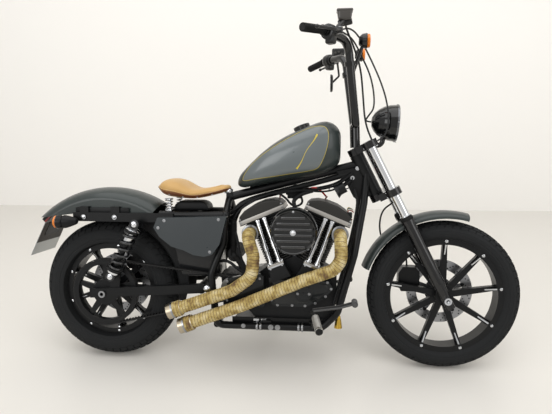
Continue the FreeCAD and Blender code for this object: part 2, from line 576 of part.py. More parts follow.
def guard(end, centre, spare=0):
    """A mudguard shell, or with some spare the room that it needs."""
    half, top = getattr(S, end + "_guard_half") + spare, getattr(S, end + "_guard") + spare
    section = doc.addObject("Part::Feature", end + "_guard_section")
    section.Shape = shell_section(half, top, getattr(S, end + "_guard_rise"),
                                  getattr(S, end + "_guard_edge") - spare, S.wall + 2 * spare)
    stop = getattr(S, end + "_guard_end")
    section.Placement = FreeCAD.Placement(centre, FreeCAD.Rotation(V(0, 1, 0), 90 - stop))
    item = doc.addObject("Part::Revolution", end + "_guard_shell")
    item.Source = section
    item.Axis = V(0, 1, 0)
    item.Base = centre
    bind(item, Angle="sizes.%s_guard_end - sizes.%s_guard_start" % (end, end))
    return item


node("front_mudguard", guard("front", front_axle))
tail, side = V(S.guard_tail_x, 0, S.guard_tail_z), V(S.guard_side_x, 0, S.guard_side_z)
below_tail = V(side.z - tail.z, 0, tail.x - side.x).normalize()
tail_trim = block("tail_trim", (tail + side) / 2 + below_tail * S.rear_guard_half,
                  "2 * (sizes.guard_side_x - sizes.guard_tail_x)", "4 * sizes.rear_guard_half",
                  "2 * sizes.rear_guard_half", below_tail * -1)
node("rear_mudguard", cut("rear_guard_trimmed", guard("rear", rear_axle), tail_trim))

# Headlamp: a deep bowl and its rim, on a stalk from the front of the upper clamp.
lamp_face = at_bar(S.lamp_x, 0, S.lamp_z)
bowl_profile = [("0", "0"), ("0", "sizes.lamp_radius - sizes.wall")]
bowl_profile += [("-sizes.lamp_depth * sin(%ddeg)" % angle,
                  "(sizes.lamp_radius - sizes.wall) * cos(%ddeg)" % angle) for angle in range(15, 90, 15)]
bowl_profile += [("-sizes.lamp_depth", "0")]
lamp_way = V(math.cos(math.radians(S.lamp_tilt)), 0, -math.sin(math.radians(S.lamp_tilt)))
bowl = lathe("lamp_bowl", bowl_profile, lamp_face, lamp_way)
lamp_rim = lathe("lamp_rim_ring", ring("sizes.seat_gap", "sizes.lamp_rim", "0", "sizes.lamp_radius"),
                 lamp_face, lamp_way)
node("headlamp_rim", lamp_rim)
stalk_foot = steered(S.upper_clamp + S.clamp_height / 2, S.fork_offset - S.overrun)
stalk_head = lamp_face - lamp_way * S.lamp_depth / 2
stalk_head.z -= S.lamp_radius / 2
stalk = pipe("lamp_stalk", [stalk_foot, V(stalk_head.x, 0, stalk_foot.z), stalk_head],
             S.stalk, "sizes.stalk / 2")
bowl_room = lathe("bowl_room", [(along, "%s + sizes.seat_gap" % out) for along, out in bowl_profile[1:-1]]
                  + [("-sizes.lamp_depth - sizes.seat_gap", "0"), ("0", "0")], lamp_face, lamp_way)
node("headlamp", bowl, cut("stalk_seated", cut("stalk_footed", stalk, clamp_room), bowl_room))


# Turn signals: bullet bodies with an amber lens, on short stems.
def signal(name, face, direction):
    """A round body behind its lens; direction is the way the lens looks."""
    shell = lathe(name + "_shell", [("-sizes.signal_depth", "0"),
                                    ("-sizes.signal_depth", "sizes.signal_radius / 2"),
                                    ("-sizes.signal_depth * sizes.shoulder_share",
                                     "sizes.signal_radius * sizes.swell_share"),
                                    ("-sizes.signal_lens", "sizes.signal_radius"),
                                    ("-sizes.signal_lens", "0")], face, direction)
    lens = lathe(name + "_lens", [("-sizes.signal_lens", "0"),
                                  ("-sizes.signal_lens", "sizes.signal_radius - sizes.wall"),
                                  ("-sizes.wall", "sizes.signal_radius - sizes.wall"),
                                  ("0", "sizes.signal_radius * sizes.shoulder_share"), ("0", "0")],
                 face, direction)
    return shell, lens


def bar_at(height):
    """The middle of the left upright at a height over the upper clamp."""
    share = (height - S.bar_foot_z) / (S.bar_top_z - S.bar_foot_z)
    return riser_top + (bar_route[1] - riser_top) * share


ring_middle = bar_at(S.signal_ring_z)
bar_way = (bar_at(S.bar_top_z) - riser_top).normalize()
signal_back = V(ring_middle.x + S.bar_tube / 2 + S.clamp_ring + S.signal_stem, ring_middle.y,
                at_bar(0, 0, S.signal_z).z)
front_shell, front_lens = signal("front_signal", signal_back + V(S.signal_depth, 0, 0), V(1, 0, 0))
signal_ring = lathe("front_signal_ring", ring("-sizes.ring_height / 2", "sizes.ring_height / 2",
                                              "sizes.bar_tube / 2 + sizes.seat_gap",
                                              "sizes.bar_tube / 2 + sizes.clamp_ring"),
                    ring_middle, bar_way)
stem_foot = ring_middle + V(S.bar_tube / 2 + S.clamp_ring + S.seat_gap, 0, 0)
front_stem = bar("front_signal_stem", stem_foot, signal_back + V(S.signal_depth / 2, 0, 0),
                 "sizes.signal_stem_radius")
node("front_signals", *both([fuse("front_signal_whole", [front_shell, signal_ring, front_stem])]))
node("front_signal_lenses", *both([front_lens]))

# Frame: one welded cradle of round tube, a backbone, seat rails and a neck.
neck_bottom = S.lower_clamp + S.clamp_height + S.neck_gap
neck_top = S.upper_clamp - S.neck_gap
neck = bar("neck_tube", steered(neck_bottom, 0), steered(neck_top, 0), "sizes.neck_radius")
neck_bore = bar("neck_bore", steered(neck_bottom - S.overrun, 0), steered(neck_top + S.overrun, 0),
                "sizes.stem_radius")
neck_middle = steered((neck_bottom + neck_top) / 2, 0)
seat_post = V(S.seat_post_x, 0, S.backbone_z)
spine_start = steered(S.upper_clamp - S.spine_drop, 0)
spine = bar("spine_tube", spine_start, seat_post, "sizes.backbone / 2")
corners = [steered(neck_top - S.web_top, -S.neck_radius / 2), steered(neck_top - S.web_top, 0)]
corners += [steered(neck_bottom + S.overrun, -back) for back in (0, S.web_lip)]
corners += [V(S.wheelbase - back, 0, height) for back, height in (
    (S.web_foot_back, S.web_foot_z), (S.web_low_back, S.web_low_z), (S.web_mid_back, S.web_mid_z),
    (S.web_rear_back, S.web_rear_z))]
web = doc.addObject("Part::Feature", "neck_web")
web_face = Part.Face(Part.makePolygon(corners + corners[:1]))
web.Shape = web_face.extrude(V(0, 2 * S.web_half, 0))
web.Placement.Base.y = -S.web_half
tank_post = V(S.tank_mount_x, 0, S.tank_mount_z)
tank_mounts = [bar("tank_mount_post", V(tank_post.x, 0, S.backbone_z + S.backbone / 2), tank_post,
                   "sizes.tank_mount / 2"),
               bar("tank_mount_bar", V(tank_post.x, -S.tank_mount_half, tank_post.z),
                   V(tank_post.x, S.tank_mount_half, tank_post.z), "sizes.tank_mount")]
hinge = block("saddle_hinge", V(S.hinge_x, 0, S.backbone_z + S.hinge_height / 2), "sizes.hinge_length",
              "sizes.hinge_width", "sizes.hinge_height")
bearers = [block("engine_bearer_" + name, V(place, 0, (S.rail_z + S.case_floor - S.seat_gap) / 2),
                 "sizes.bearer_length", "2 * sizes.rail_half",
                 "sizes.case_floor - sizes.seat_gap - sizes.rail_z")
           for name, place in (("front", S.bearer_front), ("rear", S.bearer_rear))]
rail_front = V(S.seat_post_x, S.seat_rail_half, S.seat_rail_z)
nose = V(S.cradle_front_x - S.cradle_nose, S.rail_half, S.rail_z)
heel = V(S.upright_x - S.tube, S.rail_half, S.rail_z)
cradle_route = [neck_middle + V(0, S.neck_radius / 2, 0), V(S.wheelbase + S.knee_x, S.knee_half, S.knee_z),
                V(S.wheelbase + S.downtube_x, S.rail_half, S.downtube_z),
                V(S.cradle_front_x, S.rail_half, S.cradle_front_z),
                nose, heel, V(S.pivot_x + S.tube, S.pivot_half, S.rail_z + S.backbone * 2),
                V(S.pivot_x + S.tube / 2, S.pivot_half, S.plate_top_z),
                V(S.upright_x, S.seat_rail_half, S.upright_z), rail_front]
cradle = pipe("cradle_tube", cradle_route, S.tube * 2, "sizes.tube / 2")
yoke = pipe("yoke_tube", [rail_front, seat_post], S.tube * 2, "sizes.tube / 2")
rail = pipe("seat_rail", [rail_front, V(S.rail_end_x, S.seat_rail_half, S.seat_rail_z)], S.tube,
            "sizes.tube / 2")
box_bearer = V(S.box_x, S.seat_rail_half, S.seat_rail_z)
crossings = {"front": nose, "rear": heel, "seat": rail_front, "box": box_bearer}
cross_tubes = [bar("cross_" + name, V(place.x, -place.y, place.z), place, "sizes.tube / 2 - sizes.wall")
               for name, place in crossings.items()]
joint = bind(doc.addObject("Part::Sphere", "rail_joint"), Radius="sizes.tube / 2 + sizes.weld")
joint.Placement.Base = rail_front
frame_whole = fuse("frame_whole", [neck, spine, hinge, web] + both([cradle, yoke, rail, joint]) + cross_tubes
                   + tank_mounts + bearers)

# Swingarm: two rectangular arms on a pivot tube, drilled for the axle.
arm_start, arm_end = V(-S.axle_plate, S.arm_half, rear_axle.z), V(S.arm_front_x, S.arm_half, S.pivot_z)
arm = bind(doc.addObject("Part::Box", "arm_beam"), Length="sizes.arm_height", Width="sizes.arm_width")
arm.Height = (arm_end - arm_start).Length
arm_turn = FreeCAD.Rotation(V(0, 1, 0), math.degrees(math.atan2(arm_end.x - arm_start.x,
                                                                arm_end.z - arm_start.z)))
arm.Placement = FreeCAD.Placement(
    arm_start - arm_turn.multVec(V(S.arm_height / 2, S.arm_width / 2, 0)), arm_turn)
pivot_tube = bar("pivot_tube", V(S.arm_front_x, -S.arm_half - S.arm_width / 2, S.pivot_z),
                 V(S.arm_front_x, S.arm_half + S.arm_width / 2, S.pivot_z), "sizes.pivot_radius")
shock_top = V(S.shock_top_x, S.shock_y, S.shock_top_z)
shock_foot = V(S.shock_foot_x, S.shock_y, S.shock_foot_z)
tab = block("damper_tab", V(S.shock_foot_x, S.arm_half, shock_foot.z - S.tab_height / 2 + S.pin / 2),
            "sizes.tab_length", "sizes.strut_width", "sizes.tab_height")
tab_pin = bar("damper_tab_pin", V(S.shock_foot_x, S.arm_half, S.shock_foot_z),
              V(S.shock_foot_x, S.shock_y - S.shock_eye - S.seat_gap, S.shock_foot_z), "sizes.pin / 2")
node("swingarm", cut("swingarm_drilled", fuse("swingarm_whole", both([arm, tab, tab_pin]) + [pivot_tube]),
                     bar("swingarm_hole", rear_axle - V(0, S.wheelbase, 0), rear_axle + V(0, S.wheelbase, 0),
                         "sizes.axle_radius + sizes.seat_gap")))

# Mudguard struts: flat bars outside the rails, bolted through to the mudguard's sides.
strut_y = S.seat_rail_half + S.tube / 2 + S.seat_gap + S.strut_width / 2
strut = block("strut_bar", V(S.strut_end_x + S.strut_length / 2, strut_y, S.seat_rail_z - S.strut_rise),
              "sizes.strut_length", "sizes.strut_width", "sizes.strut_height")
lug_y = S.rear_guard_half + S.seat_gap
strut_z = S.seat_rail_z - S.strut_rise
strut_bolts = [bar("strut_bolt_" + name, V(place, lug_y, strut_z),
                   V(place, strut_y + S.strut_width / 2 + S.wall, strut_z), "sizes.bolt_radius")
               for name, place in (("front", S.strut_bolt_front), ("rear", S.strut_bolt_rear))]
strut_lugs = [block("strut_lug_" + name, V(place, (lug_y + strut_y) / 2, S.seat_rail_z + S.lug_rise),
                    "sizes.lug_length", "sizes.seat_rail_half + sizes.tube / 2 - sizes.rear_guard_half"
                    " + sizes.strut_width / 2", "sizes.lug_height")
              for name, place in (("front", S.strut_bolt_front), ("rear", S.strut_bolt_rear))]
shock_boss = bar("shock_boss", V(S.shock_top_x, strut_y, S.shock_top_z),
                 V(S.shock_top_x, S.shock_y - S.shock_eye - S.seat_gap, S.shock_top_z), "sizes.pin / 2")
boss_plate = block("shock_boss_plate", V(S.shock_top_x, strut_y, S.shock_top_z), "sizes.tab_length",
                   "sizes.strut_width", "sizes.tab_length")
rear_face = V(S.rear_signal_x - S.signal_depth, S.rear_signal_y, S.rear_signal_z)
rear_shell, rear_lens = signal("rear_signal", rear_face - V(S.signal_depth, 0, 0), V(-1, 0, 0))
signal_arm = pipe("rear_signal_arm", [V(S.strut_end_x + S.pin, strut_y, S.rear_signal_z),
                                      V(S.strut_end_x + S.pin, S.rear_signal_y, S.rear_signal_z),
                                      rear_face + V(S.lens_back, 0, 0) - V(S.pin, 0, 0)],
                  S.pin, "sizes.signal_stem_radius")
node("mudguard_struts", *both([fuse("strut_whole", [strut, shock_boss, boss_plate, signal_arm, rear_shell]
                                    + strut_bolts + strut_lugs)]))
node("rear_signal_lenses", *both([rear_lens]))

# Rear dampers: an eye at each end, a damper body and a separate coil spring round it.
shock_way = (shock_top - shock_foot).normalize()
shock_length = (shock_top - shock_foot).Length
damper = bar("damper_bar", shock_foot, shock_top, "sizes.shock_body / 2")
eyes = [bar("damper_eye_" + name, place - V(0, S.shock_eye, 0), place + V(0, S.shock_eye, 0),
            "sizes.shock_eye") for name, place in (("top", shock_top), ("foot", shock_foot))]
cups = [bar("damper_cup_" + name, shock_foot + shock_way * low,
            shock_foot + shock_way * (low + S.cup_height), "sizes.shock_coil + sizes.shock_wire / 2")
        for name, low in (("foot", S.cup_place), ("top", shock_length - S.cup_place - S.cup_height))]
node("dampers", *both([fuse("damper_whole", [damper] + eyes + cups)]))
coil_length = shock_length - 2 * (S.cup_place + S.cup_height + S.seat_gap)
coil_start = shock_foot + shock_way * (S.cup_place + S.cup_height + S.seat_gap)
coil_case = bar("coil_case", coil_start, coil_start + shock_way * coil_length,
                "sizes.shock_coil + sizes.shock_wire / 2")
coil_room = bar("coil_room", coil_start - shock_way * S.overrun,
                coil_start + shock_way * (coil_length + S.overrun), "sizes.shock_body / 2 + sizes.seat_gap")
node("damper_springs", *both([cut("coil_sleeve", coil_case, coil_room)]))

# Engine: a crankcase block and two finned cylinders in a narrow vee.
crank = V(S.crank_x, 0, S.crank_z)
tilts = {"rear": -S.cylinder_angle, "front": S.cylinder_angle}


def up_cylinder(end, along, across=0, left=0):
    """A point along a cylinder's axis from the crankshaft, ahead of it and to its left."""
    angle = math.radians(tilts[end])
    way = V(math.sin(angle), 0, math.cos(angle))
    ahead = V(math.cos(angle), 0, -math.sin(angle))
    return crank + way * along + ahead * across + V(0, left, 0)


def cylinder(end):
    """A barrel with its cooling fins, turned as one profile."""
    way = up_cylinder(end, 1) - crank
    pitch = (S.head_base - S.seat_gap - S.deck) / S.fin_count
    profile = [("0", "0"), ("0", "sizes.barrel")]
    for fin in range(int(S.fin_count)):
        low = "%d * (sizes.head_base - sizes.seat_gap - sizes.deck) / sizes.fin_count" % fin
        profile += [(low + " + sizes.fin_thickness", "sizes.barrel"),
                    (low + " + sizes.fin_thickness", "sizes.fin_radius"),
                    (low + " + 2 * sizes.fin_thickness", "sizes.fin_radius"),
                    (low + " + 2 * sizes.fin_thickness", "sizes.barrel")]
    profile += [("sizes.head_base - sizes.seat_gap - sizes.deck", "sizes.barrel"),
                ("sizes.head_base - sizes.seat_gap - sizes.deck", "0")]
    return lathe(end + "_cylinder_body", profile, up_cylinder(end, S.deck), way)


def outline(shares, length, height):
    """An outline's corners as expressions: shares of a named length and a named height."""
    return [("%s * sizes.%s" % (a, length), "%s * sizes.%s" % (b, height)) for a, b in shares]


# The arched side of a rocker box, in shares of its half length and its height.
ROCKER_SHARES = ((-1, 0), (-1, 0.36), (-0.9, 0.62), (-0.62, 0.85), (-0.22, 0.98), (0.22, 1), (0.62, 0.87),
                 (0.9, 0.64), (1, 0.36), (1, 0))
barrels, heads, rocker_boxes = [], [], []
for end in tilts:
    clip_shift = math.copysign(S.crank_z - S.seat_gap, tilts[end])
    clip = block(end + "_vee_clip", crank + V(-clip_shift, 0, S.crank_z),
                 "2 * sizes.crank_z", "2 * sizes.crank_z", "2 * sizes.crank_z")
    barrels.append(cut(end + "_cylinder_clipped", cylinder(end), clip))
    way = up_cylinder(end, 1) - crank
    fins = []
    head_height = S.rocker_base - S.head_base - S.seat_gap
    for fin in range(int(S.head_fins)):
        place = S.head_base + (fin + 0.5) * head_height / S.head_fins
        fins.append(block("%s_head_fin_%d" % (end, fin), up_cylinder(end, place),
                          "2 * sizes.head_half_length", "2 * sizes.head_half_width",
                          "sizes.fin_thickness", way))
    core = block(end + "_head_core", up_cylinder(end, S.head_base + head_height / 2),
                 "2 * sizes.head_half_length * sizes.core_share",
                 "2 * sizes.head_half_width * sizes.core_share",
                 "sizes.rocker_base - sizes.head_base - sizes.seat_gap", way)
    heads.append(fuse(end + "_head_whole", fins + [core]))
    rocker = slab(end + "_rocker_block", outline(ROCKER_SHARES, "rocker_half_length", "rocker_height"),
                  "2 * sizes.rocker_half_width")
    turn = FreeCAD.Rotation(V(0, 1, 0), tilts[end])
    rocker.Placement = FreeCAD.Placement(up_cylinder(end, S.rocker_base), turn)
    eased = doc.addObject("Part::Fillet", end + "_rocker_eased")
    doc.recompute()
    eased.Base = rocker
    top_edges = [i + 1 for i, edge in enumerate(rocker.Shape.Edges)
                 if (edge.CenterOfMass - crank).dot(way) > S.rocker_base + S.rocker_strip
                 and abs(edge.CenterOfMass.y) > S.rocker_half_width - S.seat_gap]
    eased.Edges = [(i, S.rocker_round, S.rocker_round) for i in top_edges]
    rocker_boxes.append(eased)
node("cylinders", *barrels)
node("cylinder_heads", *heads)
node("rocker_boxes", *rocker_boxes)


def shift(body, x=0, y=0, z=0):
    body.Placement.Base = V(x, y, z)
    return body


deck = "(sizes.deck - sizes.seat_gap)"
tilt = "sizes.cylinder_angle * 1deg"
deck_x = "%s * sin(%s) + sizes.deck_half * cos(%s)" % (deck, tilt, tilt)
deck_z = "%s * cos(%s) - sizes.deck_half * sin(%s)" % (deck, tilt, tilt)
floor = "sizes.case_floor - sizes.crank_z"
case = slab("crankcase_block", [
    (deck_x, deck_z), ("0", "%s / cos(%s)" % (deck, tilt)), ("-(%s)" % deck_x, deck_z),
    ("-sizes.case_waist", "sizes.case_shoulder"), ("-sizes.case_back", "sizes.case_shoulder"),
    ("-sizes.case_back", floor + " / 2"), ("-sizes.case_waist", floor), ("sizes.case_waist", floor),
    ("sizes.case_front", "0"), ("sizes.case_front", "sizes.case_shoulder")],
    "2 * sizes.case_half")
node("crankcase", shift(case, S.crank_x, 0, S.crank_z))

CAM_COVER_SHARES = ((-0.42, 0.62), (-0.38, -0.25), (-0.3, -0.34), (0.2, -0.34), (0.5, -0.06),
                    (0.66, 0.28), (0.6, 0.5), (0.3, 0.62))
SPROCKET_COVER_SHARES = ((0, 0.1), (0.12, 0), (1, 0), (1, 0.9), (0.8, 1), (0.1, 0.8))
PRIMARY_SHARES = ((0, 0.5), (0.05, 0.2), (0.18, 0), (0.8, 0), (0.95, 0.15), (1, 0.45), (0.96, 0.75),
                  (0.84, 0.95), (0.7, 1), (0.15, 0.85), (0.04, 0.7))
cam_cover = slab("cam_cover_block", outline(CAM_COVER_SHARES, "cam_length", "cam_height"),
                 "sizes.cover_depth")
side_y = S.case_half + S.seat_gap
shift(cam_cover, S.crank_x, -side_y - S.cover_depth / 2, S.crank_z)
sprocket_cover = slab("sprocket_cover_block", outline(SPROCKET_COVER_SHARES, "sprocket_cover_length",
                                                      "sprocket_cover_height"), "sizes.cover_depth / 2")
shift(sprocket_cover, S.sprocket_cover_x, -S.sprocket_cover_y, S.sprocket_cover_z)
spacers = [bar("cover_spacer_%d" % height, V(S.spacer_x, -side_y, height),
               V(S.spacer_x, -S.sprocket_cover_y, height), "sizes.spacer")
           for height in (S.spacer_low, S.spacer_high)]
sprocket_side = fuse("sprocket_cover_whole", [sprocket_cover] + spacers)
primary = slab("primary_block", outline(PRIMARY_SHARES, "primary_length", "primary_height"),
               "sizes.primary_depth")
shift(primary, S.primary_x, side_y + S.primary_depth / 2, S.primary_z)
node("engine_covers", cam_cover, sprocket_side, primary)

# Pushrod tubes: two thin tubes for each cylinder, from a tappet block up to the rocker box.
tubes = []
for end in tilts:
    lean_in = 1 if end == "rear" else -1
    way = up_cylinder(end, 1) - crank
    pieces = []
    for index, (low, high) in enumerate(((S.pushrod_near, S.pushrod_near_head),
                                         (-S.pushrod_far, -S.pushrod_far_head))):
        foot = up_cylinder(end, S.pushrod_foot - S.tappet_height / 2, low * lean_in, -S.pushrod_y)
        head = up_cylinder(end, S.rocker_base + S.overrun, high * lean_in,
                           S.pushrod - S.rocker_half_width)
        pieces.append(bar("%s_pushrod_%d" % (end, index), foot, head, "sizes.pushrod"))
    pieces.append(block(end + "_tappet_block",
                        up_cylinder(end, S.pushrod_foot - S.tappet_height / 2,
                                    (S.pushrod_near - S.pushrod_far) / 2 * lean_in, -S.pushrod_y),
                        "sizes.tappet_length", "sizes.tappet_width", "sizes.tappet_height", way))
    rocker_room = block(end + "_rocker_room", up_cylinder(end, S.rocker_base + S.rocker_height / 2),
                        "2 * sizes.rocker_half_length", "3 * sizes.rocker_half_width",
                        "sizes.rocker_height + 2 * sizes.seat_gap", way)
    tubes.append(cut(end + "_pushrods_seated", fuse(end + "_pushrods", pieces), rocker_room))
node("pushrod_tubes", *tubes)

# Air cleaner: a round cover on a backplate, with the intake passing between the cylinders.
cleaner = V(S.cleaner_x, -S.cleaner_y, S.cleaner_z)
# Shares of its depth and of its radius.
CLEANER_SHARES = ((0, 0), (0, 0.86), (-0.12, 0.95), (-0.3, 1), (-1, 1), (-1, 0))
cover = lathe("cleaner_cover", outline(CLEANER_SHARES, "cleaner_depth", "cleaner_radius"), cleaner,
              V(0, -1, 0))
ribs = []
for index in range(int(S.rib_count)):
    offset = (index + 0.5 - S.rib_count / 2) * S.rib_pitch
    half_rib = math.sqrt((S.cleaner_radius * S.rib_reach) ** 2 - offset ** 2)
    place = cleaner + V(0, -S.rib_depth / 2, offset)
    ribs.append(bind(doc.addObject("Part::Box", "cleaner_rib_%d" % index), Width="2 * sizes.rib_depth",
                     Height="sizes.rib_height"))
    ribs[-1].Length = 2 * half_rib
    ribs[-1].Placement.Base = place - V(half_rib, 0, S.rib_height / 2)
node("air_cleaner", fuse("cleaner_whole", [cover] + ribs))
intake_end = V(S.cleaner_x, -S.cleaner_y + S.cleaner_depth + S.seat_gap, S.cleaner_z)
ports = []
for end in tilts:
    lean_in = 1 if end == "rear" else -1
    mouth = up_cylinder(end, S.port_along, lean_in * (S.head_half_length + S.seat_gap))
    ports.append(bar(end + "_port", mouth, up_cylinder(end, S.port_along, lean_in * (
        S.head_half_length + S.port_reach)), "sizes.port_radius"))
intake_bar = bar("intake_bar", V(S.cleaner_x, S.intake_radius, S.cleaner_z), intake_end,
                 "sizes.intake_radius")
node("intake", fuse("intake_whole", ports + [intake_bar]))

# Exhausts: two wrapped pipes swept back along the right side to open tips.
head_side = -S.head_half_width - S.seat_gap
# Each route's corners in shares of the exhaust's reach from the crankshaft, its side and its rise.
FRONT_PIPE_SHARES = ((1, 0.8298, 1), (1.0202, 0.8936, 0.6629), (0.8687, 0.9043, 0.4981),
                     (0.1919, 0.9255, 0.3146), (-1.1212, 0.9574, -0.1124), (-2.1717, 1, -0.3933))
REAR_PIPE_SHARES = ((-1, 0.7979, 1), (-0.8485, 0.8936, 0.6929), (-0.8889, 0.9043, 0.3558),
                    (-1.3232, 0.9149, 0.1236), (-2.4242, 1, -0.161))


def exhaust_route(shares):
    points = [V(S.crank_x + a * S.exhaust_reach, -b * S.exhaust_side, S.crank_z + c * S.exhaust_rise)
              for a, b, c in shares]
    return [V(points[0].x, head_side, points[0].z)] + points


pipes, tips = [], []
for name, shares in (("front", FRONT_PIPE_SHARES), ("rear", REAR_PIPE_SHARES)):
    points = exhaust_route(shares)
    way = (points[-1] - points[-2]).normalize()
    pipes.append(pipe(name + "_exhaust_pipe", points, S.pipe * S.pipe_bend, "sizes.pipe / 2"))
    tip = lathe(name + "_tip_body", [("sizes.seat_gap", "sizes.tip_bore"),
                                     ("sizes.seat_gap", "sizes.tip_radius"),
                                     ("sizes.tip_length", "sizes.tip_radius"),
                                     ("sizes.tip_length", "sizes.tip_bore")], points[-1], way)
    tips.append(tip)
node("exhaust_pipes", *pipes)
node("exhaust_tips", *tips)

# Fuel tank: a smooth shell over the backbone, lofted through rounded sections.
TANK_SHARES = ((0.0, 0.3, 0.03, 0.125), (0.06, 0.56, 0.0, 0.27), (0.24, 0.84, 0.05, 0.54),
               (0.47, 0.96, 0.12, 0.785), (0.7, 1.0, 0.18, 0.94), (0.87, 0.95, 0.25, 1.0),
               (0.96, 0.74, 0.33, 0.93), (1.0, 0.42, 0.48, 0.8))
sections = [rounded_section(S.tank_x + at * S.tank_length, half * S.tank_half,
                            S.tank_floor + low * S.tank_height, S.tank_floor + high * S.tank_height,
                            S.tank_squareness) for at, half, low, high in TANK_SHARES]
tank = loft("tank_shell", sections)
tunnel = bar("tank_tunnel", spine_start, seat_post, "sizes.backbone / 2 + sizes.seat_gap")
room_top = S.tank_mount_z + S.tank_mount + S.seat_gap
mount_room = block("tank_mount_room", V(tank_post.x, 0, (room_top + S.backbone_z) / 2),
                   "2 * (sizes.tank_mount + sizes.seat_gap)",
                   "2 * (sizes.tank_mount_half + sizes.seat_gap)",
                   "sizes.tank_mount_z + sizes.tank_mount + sizes.seat_gap - sizes.backbone_z")
node("fuel_tank", cut("tank_tunnelled", tank, fuse("tank_rooms", [tunnel, mount_room])))
cap_way = V(-math.sin(math.radians(S.cap_tilt)), 0, math.cos(math.radians(S.cap_tilt)))
cap = lathe("cap_body", [("0", "0"), ("0", "sizes.cap_radius"), ("sizes.cap_height", "sizes.cap_radius"),
                         ("sizes.cap_height", "0")], V(S.cap_x, 0, S.cap_z), cap_way)
cap_seat = doc.addObject("Part::Cut", "cap_seated")
cap_seat.Base = cap
cap_seat.Tool = tank
node("fuel_cap", cap_seat)

# Saddle: a dished solo seat on a pan, with two coil springs behind and a hinge in front.
SADDLE_SHARES = ((0.0, 0.5, 0.5, 0.72), (0.1, 0.86, 0.16, 0.98), (0.26, 1.0, 0.05, 0.92),
                 (0.5, 0.86, 0.0, 0.5), (0.72, 0.52, 0.14, 0.56), (0.92, 0.36, 0.34, 0.76),
                 (1.0, 0.22, 0.48, 0.66))
sections = [rounded_section(S.saddle_x + at * S.saddle_length, half * S.saddle_half,
                            S.saddle_floor + low * S.saddle_height,
                            S.saddle_floor + high * S.saddle_height, S.saddle_squareness)
            for at, half, low, high in SADDLE_SHARES]
node("saddle", loft("saddle_cushion", sections))
spring_top = V(S.spring_x, S.spring_half, S.saddle_floor + S.spring_lift)
spring_foot = V(S.spring_x, S.spring_half, S.seat_rail_z + S.tube / 2 + S.seat_gap)
node("saddle_springs", *both([bar("saddle_spring_case", spring_foot, spring_top, "sizes.spring_radius")]))

# Side covers and the box under the seat.
COVER_SHARES = ((0, 0.7), (0.055, 0.94), (1, 1), (0.9, 0.31), (0.8, 0.06), (0.69, 0), (0.54, 0.04),
                (0.41, 0.15), (0.24, 0.24), (0.08, 0.47))
side_cover = slab("side_cover_block", outline(COVER_SHARES, "cover_length", "cover_height"),
                  "sizes.cover_thickness")
shift(side_cover, S.cover_x, S.cover_y + S.cover_thickness / 2, S.cover_floor)
node("side_covers", *both([side_cover]))
battery = block("battery_block", V(S.box_x, 0, S.box_z + S.box_height / 2),
                "sizes.box_length", "sizes.box_width", "sizes.box_height")

# Number plate: a bare plate and its bracket behind the rear mudguard.
plate_centre = V(S.plate_x, 0, S.plate_z)
plate_way = V(-math.cos(math.radians(S.plate_tilt)), 0, math.sin(math.radians(S.plate_tilt)))
plate_up = V(plate_way.z, 0, -plate_way.x)
plate_sheet = block("plate_sheet", plate_centre, "sizes.plate_length", "sizes.plate_width",
                    "sizes.wall / 2", plate_way)
holder_centre = plate_centre - plate_way * (S.wall / 4 + S.seat_gap + S.wall / 2) + plate_up * S.holder_rise
holder = block("plate_holder", holder_centre, "sizes.holder_length", "sizes.holder_width", "sizes.wall",
               plate_way)
arm_low = plate_centre - plate_way * (S.holder_bar / 2 + S.wall) + plate_up * S.holder_rise
arm_high = arm_low + plate_up * (S.plate_length / 2 - S.holder_rise + S.holder_bar)
tail_top = V(arm_high.x, 0, rear_axle.z + math.sqrt((S.rear_guard - S.wall / 2) ** 2 - arm_high.x ** 2))
holder_arm = pipe("plate_arm", [arm_low, arm_high, tail_top], S.holder_bar * 2, "sizes.holder_bar / 2")
tail_room = guard("rear", rear_axle, S.seat_gap)
tail_bracket = cut("tail_bracket_seated", fuse("tail_bracket_whole", [holder, holder_arm]),
                   tail_room)
node("number_plate", plate_sheet)

# Drive belt: a closed band round the rear pulley and the drive pulley.
def band(name, wheels, width, y):
    """The hull of two circles in X and Z, as a solid of one width with its middle at y."""
    (first, small), (second, large) = wheels
    gap = second - first
    heading = math.atan2(gap.z, gap.x)
    swing = math.acos((small - large) / gap.Length)
    edges = []
    ends = []
    for centre, radius in wheels:
        ends.append([centre + V(math.cos(heading + turn), 0, math.sin(heading + turn)) * radius
                     for turn in (swing, -swing)])
    far_small = first - gap.normalize() * small
    far_large = second + gap * large
    edges.append(Part.Arc(ends[0][0], far_small, ends[0][1]).toShape())
    edges.append(Part.LineSegment(ends[0][1], ends[1][1]).toShape())
    edges.append(Part.Arc(ends[1][1], far_large, ends[1][0]).toShape())
    edges.append(Part.LineSegment(ends[1][0], ends[0][0]).toShape())
    face = Part.Face(Part.Wire(edges))
    item = doc.addObject("Part::Feature", name)
    item.Shape = face.extrude(V(0, 2 * width, 0))
    item.Placement.Base.y = y - width
    return item


drive = V(S.drive_x, 0, S.drive_z)
run = [(rear_axle, S.pulley_radius + S.belt_gap), (drive, S.drive_radius + S.belt_gap)]
inner_band = band("belt_inside", [(centre, radius) for centre, radius in run], S.belt_half + S.overrun,
                  -S.pulley_y)
outer_band = band("belt_outside", [(centre, radius + S.belt_thickness) for centre, radius in run],
                  S.belt_half, -S.pulley_y)
node("drive_belt", cut("belt_loop", outer_band, inner_band))
drive_drum = bar("drive_pulley_bar", V(S.drive_x, -S.pulley_y - S.belt_half, S.drive_z),
                 V(S.drive_x, -S.pulley_y + S.belt_half, S.drive_z), "sizes.drive_radius")
drive_shaft = bar("drive_shaft_bar", V(S.drive_x, -S.pulley_y, S.drive_z),
                  V(S.drive_x, -side_y, S.drive_z), "sizes.shaft_radius")
node("drive_pulley", fuse("drive_pulley_whole", [drive_drum, drive_shaft]))

